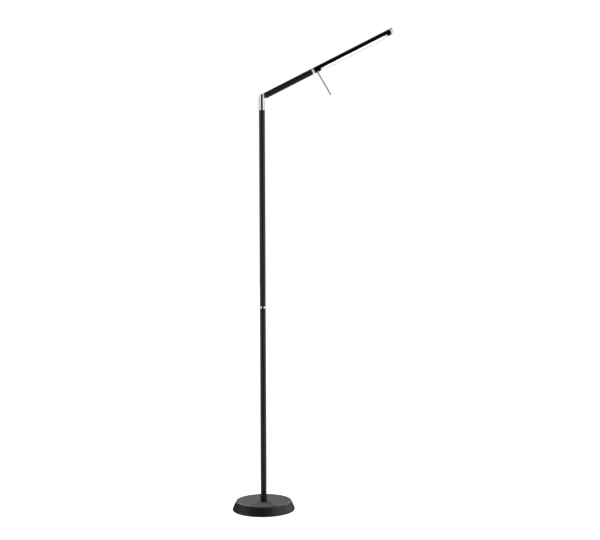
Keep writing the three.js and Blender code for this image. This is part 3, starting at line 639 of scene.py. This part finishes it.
def cord_inlet_bush():
    """A rubber bush whose two flanges follow the cover's slope, turned flat and then laid onto the
    cone. While it is flat, its heights are measured outwards from the cover's outer face."""
    low, high = span("cord_inlet_bush")
    middle_z = (low.z + high.z) / 2
    flange_r = (high.x - low.x) / 2
    bore_r = 3.5 * MM
    flange_h = 1.5 * MM
    inner_face = -COVER_WALL - SEAM
    outline = rounded(
        [
            (bore_r, SEAM + flange_h, 0.5 * MM),
            (bore_r, inner_face - flange_h, 0.4 * MM),
            (flange_r, inner_face - flange_h, 0.4 * MM),
            (flange_r, inner_face, 0.3 * MM),
            (INLET_NECK_R, inner_face, 0.15 * MM),
            (INLET_NECK_R, SEAM, 0.15 * MM),
            (flange_r, SEAM, 0.2 * MM),
            (flange_r, SEAM + flange_h, 0.9 * MM),
        ]
    )
    bush = turned("cord_inlet_grommet", outline, sides=64)
    for vertex in bush.data.vertices:
        x = vertex.co.x
        z = middle_z + vertex.co.y
        face_y = math.sqrt(slope_radius(z) ** 2 - x * x)
        vertex.co = (x, face_y + vertex.co.z, z)
    bush.data.flip_normals()
    return stands_for(bush, "cord_inlet_bush")


def sleeve(name, node, where=UPRIGHT, foot_edge=0.35 * MM, head_edge=0.35 * MM, steps=5):
    """A plain tube about the Z axis of a place, with its outer edges rounded."""
    inner_edge = 0.2 * MM
    inner, outer = radii(node, where)
    low, high = span(node, where)
    outline = rounded(
        [
            (inner, low.z, inner_edge),
            (outer, low.z, foot_edge),
            (outer, high.z, head_edge),
            (inner, high.z, inner_edge),
        ],
        steps=steps,
    )
    return turned(name, outline, where, 128)


def bright_ring(name, node, where=UPRIGHT, finish=None):
    """A bright spacer ring: a short cylinder with rounded shoulders."""
    shoulder = 0.8 * MM
    return stands_for(sleeve(name, node, where, shoulder, shoulder, steps=8), node, finish)


def foot_collar():
    """The black collar round the pole's foot."""
    collar = sleeve("foot_collar_round", "foot_collar", UPRIGHT, 0.5 * MM, 1.4 * MM, steps=8)
    return stands_for(collar, "foot_collar")


def swivel_bush():
    """The nylon bush in the pole's top, with the stop finger that hangs below its sleeve. Its flange
    shows as a thin line under the hinge post."""
    low, high = span("swivel_bush")
    pole_top = span("upper_pole")[1].z
    flange_r = high.y
    sleeve_r = radii("upper_pole_plug")[1]
    bore_r = radii("swivel_bush")[0]
    finger_length = 9 * MM
    finger_half = 1.5 * MM
    finger_out = sleeve_r - 0.15 * MM
    finger_in = sleeve_r - 0.75 * MM
    sleeve_end = low.z + finger_length
    under_flange = pole_top + 0.03 * MM
    outline = rounded(
        [
            (bore_r, sleeve_end, 0.2 * MM),
            (sleeve_r, sleeve_end, 0.4 * MM),
            (sleeve_r, pole_top, 0),
            (flange_r, under_flange, 0.15 * MM),
            (flange_r, high.z, 0.3 * MM),
            (bore_r, high.z, 0.2 * MM),
        ],
        steps=4,
    )
    bush = turned("swivel_bush_round", outline, sides=96)
    finger = block(
        "finger",
        (-finger_out, -finger_half, low.z),
        (-finger_in, finger_half, sleeve_end + 1 * MM),
    )
    combine(bush, [finger], "UNION")
    return stands_for(crisp(bush, 30), "swivel_bush")


# --------------------------------------------------------------------
# Screws and nuts
# --------------------------------------------------------------------


def socket_screw(name, node, where, socket_r, socket_depth, edge, shank_r=None, head_h=None):
    """A screw that stands along -Z of a place with its head on top and a hexagon socket in it. Without
    a shank's radius it is a set screw, as wide as its head all the way down."""
    countersink = 1.12
    lip = 0.12 * MM
    drill_point = 0.3 * MM
    outer = radii(node, where)[1]
    low, high = span(node, where)
    top = high.z
    corners = [(0, low.z, 0)]
    if shank_r is None:
        corners.append((outer, low.z, 0.3 * MM))
    else:
        corners.append((shank_r, low.z, 0.3 * MM))
        corners.append((shank_r, top - head_h, 0.1 * MM))
        corners.append((outer, top - head_h, 0.1 * MM))
    corners.append((outer, top, edge))
    corners.append((socket_r * countersink, top, 0))
    outline = rounded(corners, closed=False, steps=6)
    first = len(outline)
    outline += [
        (socket_r, top - lip),
        (socket_r, top - socket_depth),
        (0, top - socket_depth - drill_point),
    ]
    screw = turned(name, outline, where, 48, closed=False, hexagonal=(first, first + 1))
    return stands_for(crisp(screw, 40), node)


def screws():
    """The hinge screw, the two in the head's top, and the set screws in the arm and the knob."""
    underside = Matrix.Rotation(math.pi, 4, "X")
    front = Matrix.Translation(PIVOT) @ Matrix.Rotation(math.pi / 2, 4, "X")
    socket_screw(
        "hinge_cap_screw", "hinge_screw", front,
        socket_r=1.3 * MM, socket_depth=1.2 * MM, edge=0.6 * MM, shank_r=2.0 * MM, head_h=1.9 * MM,
    )
    for node in ("head_screw_near", "head_screw_far"):
        socket_screw(
            node + "_button", node, beside(HEAD, node),
            socket_r=0.8 * MM, socket_depth=0.5 * MM, edge=0.5 * MM, shank_r=1.1 * MM, head_h=1.0 * MM,
        )
    for node, axes, socket_r in (("arm_set_screw", ARM, 0.8 * MM), ("knob_set_screw", HEAD, 0.6 * MM)):
        where = beside(axes, node) @ underside
        socket_screw(node + "_grub", node, where, socket_r, socket_depth=1.3 * MM, edge=0.3 * MM)


def hexagon_nut(name, node, where):
    """A chamfered hexagon nut about the Z axis of a place."""
    inner, outer = radii(node, where)
    low, high = span(node, where)
    chamfer = 0.35 * MM
    mouth = 0.3 * MM
    face_r = outer * math.cos(math.pi / 6) - 0.1 * MM
    outline = [
        (inner + mouth, low.z),
        (face_r, low.z),
        (outer, low.z + chamfer),
        (outer, high.z - chamfer),
        (face_r, high.z),
        (inner + mouth, high.z),
        (inner, high.z - mouth),
        (inner, low.z + mouth),
    ]
    nut = turned(name, outline, where, 48, hexagonal=(2, 3))
    return stands_for(crisp(nut, 25), node)


# --------------------------------------------------------------------
# Hinge post and the arm's tongue
# --------------------------------------------------------------------

SLOT_HALF = 3.6 * MM
SLOT_DEPTH = 12 * MM
SLOT_BACK = 5.4 * MM
SCREW_HOLE_R = 2.15 * MM
ACROSS_PIVOT = Matrix.Translation(PIVOT) @ Z_TO_Y


def hinge_post():
    """The chrome post: a bar with a round top, forked for the tongue, on a hollow spigot that has a
    groove for its clip. The screw's hole is cut after the fork and the seats."""
    low, high = span("hinge_post")
    radius = high.x
    shoulder_z = span("swivel_bush")[1].z + SEAM
    spigot_r = 5.5 * MM
    bore_r = 3.4 * MM
    head_seat_r = 2.85 * MM
    nut_seat_r = 3.85 * MM
    seat_y = 7.2 * MM
    pin_clearance = 0.15 * MM
    pin_hole_depth = 1.4 * MM
    clip_low, clip_high = span("swivel_clip")
    groove_r = radii("swivel_clip")[0] - SEAM
    outside = 2 * radius
    post_top = PIVOT.z + radius + 2 * MM
    bore_top = PIVOT.z - SLOT_DEPTH + MM
    outline = rounded(
        [
            (0, bore_top, 0),
            (bore_r, bore_top, 0),
            (bore_r, low.z, 0.2 * MM),
            (spigot_r, low.z, 0.5 * MM),
            (spigot_r, clip_low.z - SEAM, 0),
            (groove_r, clip_low.z - SEAM, 0),
            (groove_r, clip_high.z + SEAM, 0),
            (spigot_r, clip_high.z + SEAM, 0),
            (spigot_r, shoulder_z, 0.2 * MM),
            (radius, shoulder_z, 0.6 * MM),
            (radius, post_top, 0),
            (0, post_top, 0),
        ],
        closed=False,
    )
    post = turned("hinge_post_body", outline, sides=128, closed=False)
    below = block("below", (-outside, -outside, low.z - radius), (outside, outside, PIVOT.z))
    dome = bar("dome", radius, -outside, outside, ACROSS_PIVOT, 128)
    combine(below, [dome], "UNION")
    combine(post, [below], "INTERSECT")
    fork = block(
        "fork",
        (-SLOT_BACK, -SLOT_HALF, PIVOT.z - SLOT_DEPTH),
        (outside, SLOT_HALF, PIVOT.z + outside),
    )
    pin_low, pin_high = span("swivel_stop_pin")
    pin_place = Matrix.Translation((0, 0, (pin_low.z + pin_high.z) / 2)) @ Z_TO_X
    pin_hole_r = (pin_high.z - pin_low.z) / 2 + pin_clearance
    pin_hole_end = pin_low.x - pin_hole_depth
    cutters = [
        bar("pin_hole", pin_hole_r, pin_hole_end, radius, pin_place, 24),
        fork,
        bar("nut_seat", nut_seat_r, seat_y, outside, ACROSS_PIVOT, 64),
        bar("head_seat", head_seat_r, -outside, -seat_y, ACROSS_PIVOT, 64),
        bar("screw_hole", SCREW_HOLE_R, -outside, outside, ACROSS_PIVOT, 40),
    ]
    combine(post, cutters)

    def shows(edge):
        """True above the spigot and outside the screw's hole."""
        clear_r = SCREW_HOLE_R + 0.3 * MM
        ends = [v.co for v in edge.verts]
        return all(p.z > shoulder_z and math.hypot(p.x, p.z - PIVOT.z) > clear_r for p in ends)

    soften_edges(post, 0.22 * MM, angle=32, keep=shows)
    crisp(post, 32)
    return stands_for(weighted(post), "hinge_post")


def arm_screw_place():
    """The arm's axes, moved along to its set screw."""
    low, high = span("arm_set_screw", ARM)
    return ARM @ Matrix.Translation(((low.x + high.x) / 2, 0, 0))


TAB_HALF = 3.0 * MM


def tongue_tab(eye_r, end_x):
    """The tongue's flat tab, round at its eye, as a loose object."""
    arc_steps = 32
    bm = bmesh.new()
    points = [(end_x, -eye_r)]
    for k in range(arc_steps + 1):
        angle = math.radians(-90 - 180 * k / arc_steps)
        points.append((eye_r * math.cos(angle), eye_r * math.sin(angle)))
    points.append((end_x, eye_r))
    sides = [[bm.verts.new((x, y, z)) for x, z in points] for y in (-TAB_HALF, TAB_HALF)]
    bm.faces.new(sides[0])
    bm.faces.new(list(reversed(sides[1])))
    for k in range(len(points)):
        n = (k + 1) % len(points)
        bm.faces.new((sides[0][n], sides[0][k], sides[1][k], sides[1][n]))
    rims = [e for e in bm.edges if abs(e.verts[0].co.y - e.verts[1].co.y) < WELD]
    bmesh.ops.recalc_face_normals(bm, faces=bm.faces[:])
    bmesh.ops.bevel(bm, geom=rims, offset=0.3 * MM, segments=2, profile=0.5, affect="EDGES")
    bm.transform(ARM)
    return mesh_object("tab", bm)


def hinge_tongue():
    """A flat tab with a round eye, a flange and a plug for the tube, all one turned and milled piece."""
    low, high = span("hinge_tongue", ARM)
    along = ARM @ Z_TO_X
    flange_low = 9.95 * MM
    flange_high = 11.2 * MM
    flange_r = high.z
    plug_r = 7.7 * MM
    bore_r = 2.7 * MM
    bore_start = 9.4 * MM
    tab_end = flange_low + 0.6 * MM
    grub_hole_r = 1.65 * MM
    grub_hole_low = -10 * MM
    grub_hole_high = -4 * MM
    mouth_half = 1.8 * MM
    mouth_low = (7 * MM, -mouth_half, -9 * MM)
    mouth_high = (11 * MM, mouth_half, 0.3 * MM)
    outline = rounded(
        [
            (0, flange_low, 0),
            (flange_r, flange_low, 0.35 * MM),
            (flange_r, flange_high, 0.25 * MM),
            (plug_r, flange_high, 0.1 * MM),
            (plug_r, high.x, 0.6 * MM),
            (0, high.x, 0),
        ],
        closed=False,
    )
    body = turned("hinge_tongue_body", outline, along, 96, closed=False)
    combine(body, [tongue_tab(-low.x, tab_end)], "UNION")
    cutters = [
        bar("eye_hole", SCREW_HOLE_R, -2 * TAB_HALF, 2 * TAB_HALF, ACROSS_PIVOT),
        bar("wire_bore", bore_r, bore_start, high.x + MM, along),
        block("wire_mouth", mouth_low, mouth_high, ARM),
        bar("grub_hole", grub_hole_r, grub_hole_low, grub_hole_high, arm_screw_place(), 24),
    ]
    combine(body, cutters)
    return stands_for(weighted(crisp(body, 32)), "hinge_tongue")


# --------------------------------------------------------------------
# Arm and head
# --------------------------------------------------------------------


def arm_tube():
    """The black arm tube, with the set screw's hole in its underside."""
    hole_r = 1.7 * MM
    hole_low = -12 * MM
    hole_high = -4 * MM
    piece = sleeve("arm_tube_round", "arm_tube", ARM @ Z_TO_X)
    combine(piece, [bar("tube_hole", hole_r, hole_low, hole_high, arm_screw_place(), 32)])
    return stands_for(weighted(crisp(piece, 32)), "arm_tube")


def head_housing(rod_place):
    """The slotted black tube, with the slot's edges rounded over, and holes for the rod and screws."""
    along = HEAD @ Z_TO_X
    outside = 20 * MM
    slot_top = -3 * MM
    rod_hole_top = -5 * MM
    screw_hole_low = 5 * MM
    screw_hole_r = 1.9 * MM
    shoulder = 0.4 * MM
    piece = sleeve("head_housing_round", "head_housing", along, shoulder, shoulder)
    near = span("lens_clip_near", HEAD)[0].x - SEAM
    far = span("lens_clip_far", HEAD)[1].x + SEAM
    slot_half = span("lens_clip_near", HEAD)[1].y + SEAM
    slot = block("slot", (near, -slot_half, -outside), (far, slot_half, slot_top), HEAD)
    rod_hole_r = radii("handle_rod", rod_place)[1] + 0.15 * MM
    holes = [bar("rod_hole", rod_hole_r, -outside, rod_hole_top, rod_place, 32)]
    for node in ("head_screw_near", "head_screw_far"):
        where = beside(HEAD, node)
        holes.append(bar(node + "_hole", screw_hole_r, screw_hole_low, outside, where, 32))
    combine(piece, [slot] + holes)
    inverse = HEAD.inverted()
    outer = radii("head_housing", along)[1]

    def on_slot_rim(edge):
        """True on the outer rim of the slot, which is what shows."""
        slack = 0.1 * MM
        for point in (inverse @ v.co for v in edge.verts):
            on_skin = point.z < 0 and math.hypot(point.y, point.z) > outer - slack
            in_slot = near - SEAM < point.x < far + SEAM and abs(point.y) < slot_half + slack
            if not (on_skin and in_slot):
                return False
        return True

    soften_edges(piece, 0.25 * MM, angle=30, keep=on_slot_rim)
    return stands_for(weighted(crisp(piece, 32)), "head_housing")


def lens_section(half_y, bottom, top, steps):
    """A U as (y, z) points from one top edge round to the other, with a half-ellipse below its
    straight sides."""
    belly = min(half_y, (top - bottom) * 0.75)
    shoulder = bottom + belly
    points = [(-half_y, top)]
    for k in range(steps + 1):
        angle = math.pi * k / steps
        points.append((-half_y * math.cos(angle), shoulder - belly * math.sin(angle)))
    points.append((half_y, top))
    return points


def led_lens():
    """A thin trough of frosted acrylic that bulges from the slot, with domed ends. A station is a
    distance from an end and the share of the full depth that the trough has there."""
    low, high = span("led_lens", HEAD)
    wall = 1.2 * MM
    end_length = 7.5 * MM
    end_steps = 12
    section_steps = 28
    half_y = high.y
    shallow = high.z - 2.2 * MM
    stations = []
    for k in range(end_steps + 1):
        t = k / end_steps
        stations.append((end_length * (1 - math.cos(t * math.pi / 2)), math.sin(t * math.pi / 2)))

    bm = bmesh.new()

    def skin(inset):
        """Rows of corners for the outer or the inner skin, one for each section from end to end."""
        places = [(low.x + inset + distance, depth) for distance, depth in stations]
        places += [(high.x - inset - distance, depth) for distance, depth in reversed(stations)]
        deep = low.z + inset
        rows = []
        for x, depth in places:
            bottom = shallow + (deep - shallow) * depth
            section = lens_section(half_y - inset, bottom, high.z, section_steps)
            rows.append([bm.verts.new((x, y, z)) for y, z in section])
        return rows

    shells = [skin(inset) for inset in (0, wall)]
    for shell in shells:
        for a, b in zip(shell, shell[1:]):
            for k in range(len(a) - 1):
                bm.faces.new((a[k], a[k + 1], b[k + 1], b[k]))
        for end in (shell[0], shell[-1]):
            bm.faces.new(end)
    outer, inner = shells
    for k in (0, -1):
        for i in range(len(outer) - 1):
            bm.faces.new((outer[i][k], outer[i + 1][k], inner[i + 1][k], inner[i][k]))
    for end in (0, -1):
        bm.faces.new((outer[end][0], outer[end][-1], inner[end][-1], inner[end][0]))
    bm.transform(HEAD)
    lens = mesh_object("led_lens_trough", bm)
    return stands_for(crisp(lens, 50), "led_lens")


def lens_clip(name, node):
    """The bright filler at an end of the lens: flush with the tube outside and flat on its other sides."""
    low, high = span(node, HEAD)
    radius = radii("head_housing", HEAD @ Z_TO_X)[1]
    side = math.sqrt(radius**2 - high.y**2)
    reach = math.asin(high.y / radius)
    arc_steps = 16
    corners = [(-high.y, high.z), (-high.y, -side)]
    for k in range(1, arc_steps):
        angle = reach * (2 * k / arc_steps - 1)
        corners.append((radius * math.sin(angle), -radius * math.cos(angle)))
    corners += [(high.y, -side), (high.y, high.z)]
    clip = extruded(name, corners, low.x, high.x, HEAD, bevel=0.25 * MM)
    return stands_for(weighted(crisp(clip, 40)), node)


def handle_sleeve(rod_place):
    """The small ferrule at the rod's root, with a sloping lip."""
    lip = 0.5 * MM
    inner, outer = radii("handle_sleeve", rod_place)
    low, high = span("handle_sleeve", rod_place)
    outline = rounded(
        [
            (inner, low.z, 0.2 * MM),
            (outer - lip, low.z, 0.3 * MM),
            (outer, low.z + 0.6 * MM, 0.3 * MM),
            (outer, high.z, 0.2 * MM),
            (inner, high.z, 0.1 * MM),
        ]
    )
    return stands_for(turned("handle_ferrule", outline, rod_place, 48), "handle_sleeve")


def dimmer_knob():
    """The bright tip: a turned cap with a dished face, a fine groove and a set screw's hole."""
    along = HEAD @ Z_TO_X
    low, high = span("dimmer_knob", along)
    radius = radii("dimmer_knob", along)[1]
    hole_r = 3.15 * MM
    hole_end = span("dimmer_shaft", along)[1].z + SEAM
    screw_hole_r = 1.25 * MM
    screw_hole_low = -20 * MM
    screw_hole_high = -3 * MM
    dish_r = radius * 0.62
    dish_edge_r = radius * 0.8
    groove_r = radius - 0.35 * MM
    outline = rounded(
        [
            (0, high.z - 0.5 * MM, 0),
            (dish_r, high.z - 0.45 * MM, 1.5 * MM),
            (dish_edge_r, high.z, 0.8 * MM),
            (radius, high.z, 1.3 * MM),
            (radius, low.z + 2.4 * MM, 0.1 * MM),
            (groove_r, low.z + 2.2 * MM, 0.1 * MM),
            (groove_r, low.z + 1.9 * MM, 0.1 * MM),
            (radius, low.z + 1.7 * MM, 0.1 * MM),
            (radius, low.z, 0.6 * MM),
            (hole_r, low.z, 0.2 * MM),
            (hole_r, hole_end, 0),
            (0, hole_end, 0),
        ],
        closed=False,
        steps=6,
    )
    knob = turned("dimmer_knob_turned", outline, along, 128, closed=False)
    where = beside(HEAD, "knob_set_screw")
    combine(knob, [bar("knob_hole", screw_hole_r, screw_hole_low, screw_hole_high, where, 32)])
    return stands_for(weighted(crisp(knob, 32)), "dimmer_knob")


def build_lamp():
    """Every rebuilt piece, from the base to the tip."""
    rod_place = beside(HEAD, "handle_rod")
    base_cover()
    solid_bar("foot_pad", "base_pad", UPRIGHT, 0.7 * MM, 0.5 * MM, steps=5, sides=192)
    cord_inlet_bush()
    foot_collar()
    stands_for(sleeve("lower_pole_tube", "lower_pole"), "lower_pole")
    bright_ring("pole_ring_bead", "pole_ring")
    stands_for(sleeve("upper_pole_tube", "upper_pole"), "upper_pole")
    swivel_bush()
    screws()
    hexagon_nut("hinge_lock_nut", "hinge_nut", ACROSS_PIVOT)
    hinge_post()
    hinge_tongue()
    arm_tube()
    bright_ring("head_ring_bead", "head_ring", HEAD @ Z_TO_X, finish="satin_chrome")
    head_housing(rod_place)
    led_lens()
    lens_clip("lens_filler_near", "lens_clip_near")
    lens_clip("lens_filler_far", "lens_clip_far")
    solid_bar("handle_rod_round", "handle_rod", rod_place, 0.9 * MM, 0.2 * MM, steps=8, sides=48)
    handle_sleeve(rod_place)
    dimmer_knob()


def dress_kept_nodes():
    """The CAD nodes that weren't rebuilt get their slot's material."""
    for node, obj in frame["nodes"].items():
        if not obj.hide_render:
            obj.data.materials.clear()
            obj.data.materials.append(MATERIALS[SLOT_OF[node]])


build_lamp()
dress_kept_nodes()


# --------------------------------------------------------------------
# Studio: a white floor, a white surround that is dark at the front and low behind, two spots, the camera
# --------------------------------------------------------------------


WHITE = (1, 1, 1, 1)


def build_floor():
    """A white floor that glows a little, so that it stays white, and that doesn't show in the chrome."""
    half_width = 40
    bm = bmesh.new()
    bmesh.ops.create_grid(bm, x_segments=1, y_segments=1, size=half_width)
    floor = mesh_object("studio_floor", bm, smooth=False)
    look = Look("studio_floor", Roughness=0.9)
    look.shader.inputs["Base Color"].default_value = (0.9, 0.9, 0.9, 1)
    look.shader.inputs["Emission Color"].default_value = WHITE
    look.shader.inputs["Emission Strength"].default_value = 0.95
    floor.data.materials.append(look.material)
    floor.visible_glossy = False


def build_world():
    """White all round for the camera. What the lamp reflects is bright at both sides and dark in a gap
    at the front, as between two soft boxes. It is dark low behind and half bright above that. Angles
    are in degrees: azimuth from straight ahead, and elevation from level."""
    world = bpy.data.worlds.new("studio")
    world.use_nodes = True
    tree = world.node_tree
    tree.nodes.clear()

    def math_node(operation, a, b=None):
        """A math node's output. Each operand is a number or another node's output."""
        node = tree.nodes.new("ShaderNodeMath")
        node.operation = operation
        for socket, value in zip(node.inputs, (a, b)):
            if isinstance(value, (int, float)):
                socket.default_value = value
            elif value is not None:
                tree.links.new(value, socket)
        return node.outputs[0]

    def product(*factors):
        result = factors[0]
        for factor in factors[1:]:
            result = math_node("MULTIPLY", result, factor)
        return result

    def fade(value, start, end, low, high):
        """Goes smoothly from low to high while a value goes from start to end."""
        node = tree.nodes.new("ShaderNodeMapRange")
        node.interpolation_type = "SMOOTHSTEP"
        for socket, number in zip(node.inputs[1:5], (start, end, low, high)):
            socket.default_value = number
        tree.links.new(value, node.inputs["Value"])
        return node.outputs["Result"]

    direction = tree.nodes.new("ShaderNodeTexCoord")
    parts = tree.nodes.new("ShaderNodeSeparateXYZ")
    tree.links.new(direction.outputs["Generated"], parts.inputs[0])
    x, y, z = parts.outputs
    azimuth = math_node("ABSOLUTE", math_node("ARCTAN2", x, math_node("MULTIPLY", y, -1)))
    elevation = math_node("ARCSINE", z)

    def around(start, end, low, high):
        return fade(azimuth, math.radians(start), math.radians(end), low, high)

    def upward(start, end, low, high):
        return fade(elevation, math.radians(start), math.radians(end), low, high)

    gap_level = 0.006
    behind_level = 0.08
    backdrop_level = 0.32
    overhead_level = 0.3

    front_gap = around(32, 44, gap_level, 1.0)
    behind_right = around(122, 138, 1.0, behind_level)
    behind_left = around(96, 118, 1.0, behind_level)
    on_right = fade(x, -0.3, -0.1, 0, 1.0)
    behind = product(behind_right, math_node("MAXIMUM", behind_left, on_right))

    above = upward(25, 55, 1.0, 0.2)
    on_left = fade(x, -0.5, -0.2, 1.0, 0)
    above_left = math_node("SUBTRACT", 1.0, product(on_left, upward(10, 30, 0, 0.95)))
    below = upward(-24, 0, 0.25, 1.0)
    sides = product(front_gap, behind, above, above_left, below)

    rear = product(around(115, 140, 0, 1.0), upward(11, 19, 0, 1.0))
    backdrop = product(rear, upward(40, 60, backdrop_level, 0))
    overhead = upward(40, 70, 0, overhead_level)
    level = math_node("ADD", math_node("ADD", sides, backdrop), overhead)

    surround = tree.nodes.new("ShaderNodeBackground")
    surround.inputs["Color"].default_value = WHITE
    tree.links.new(level, surround.inputs["Strength"])
    plain = tree.nodes.new("ShaderNodeBackground")
    plain.inputs["Color"].default_value = WHITE
    rays = tree.nodes.new("ShaderNodeLightPath")
    choose = tree.nodes.new("ShaderNodeMixShader")
    output = tree.nodes.new("ShaderNodeOutputWorld")
    tree.links.new(rays.outputs["Is Camera Ray"], choose.inputs[0])
    tree.links.new(surround.outputs[0], choose.inputs[1])
    tree.links.new(plain.outputs[0], choose.inputs[2])
    tree.links.new(choose.outputs[0], output.inputs["Surface"])
    bpy.context.scene.world = world


def build_top_lights():
    """Two soft spots from behind and above, one on each side, that light the base and the pole's foot."""
    target = Vector((0, 0, COVER_TOP_Z))
    reach = 2.0
    aside = 0.35
    behind = 0.77
    above = 0.53
    for name, side in (("top_light_left", -1), ("top_light_right", 1)):
        light = bpy.data.lights.new(name, "SPOT")
        light.energy = 105
        light.shadow_soft_size = 0.2
        light.spot_size = math.radians(14)
        light.spot_blend = 0.6
        obj = bpy.data.objects.new(name, light)
        obj.location = target + reach * Vector((aside * side, behind, above))
        obj.rotation_euler = (target - obj.location).to_track_quat("-Z", "Y").to_euler()
        bpy.context.scene.collection.objects.link(obj)


def build_camera():
    """A level camera in front of the lamp, with a very small roll."""
    distance = 3.0
    right = 0.120
    height = 0.768
    roll = math.radians(-0.27)
    camera = bpy.data.cameras.new("camera")
    camera.sensor_width = 36
    camera.lens = 56.0
    camera.clip_end = 200
    obj = bpy.data.objects.new("camera", camera)
    level = Matrix.Rotation(math.pi / 2, 4, "X") @ Matrix.Rotation(roll, 4, "Z")
    obj.matrix_world = Matrix.Translation((right, -distance, height)) @ level
    bpy.context.scene.collection.objects.link(obj)
    bpy.context.scene.camera = obj


build_floor()
build_world()
build_top_lights()
build_camera()
bpy.context.scene.view_settings.view_transform = "Standard"
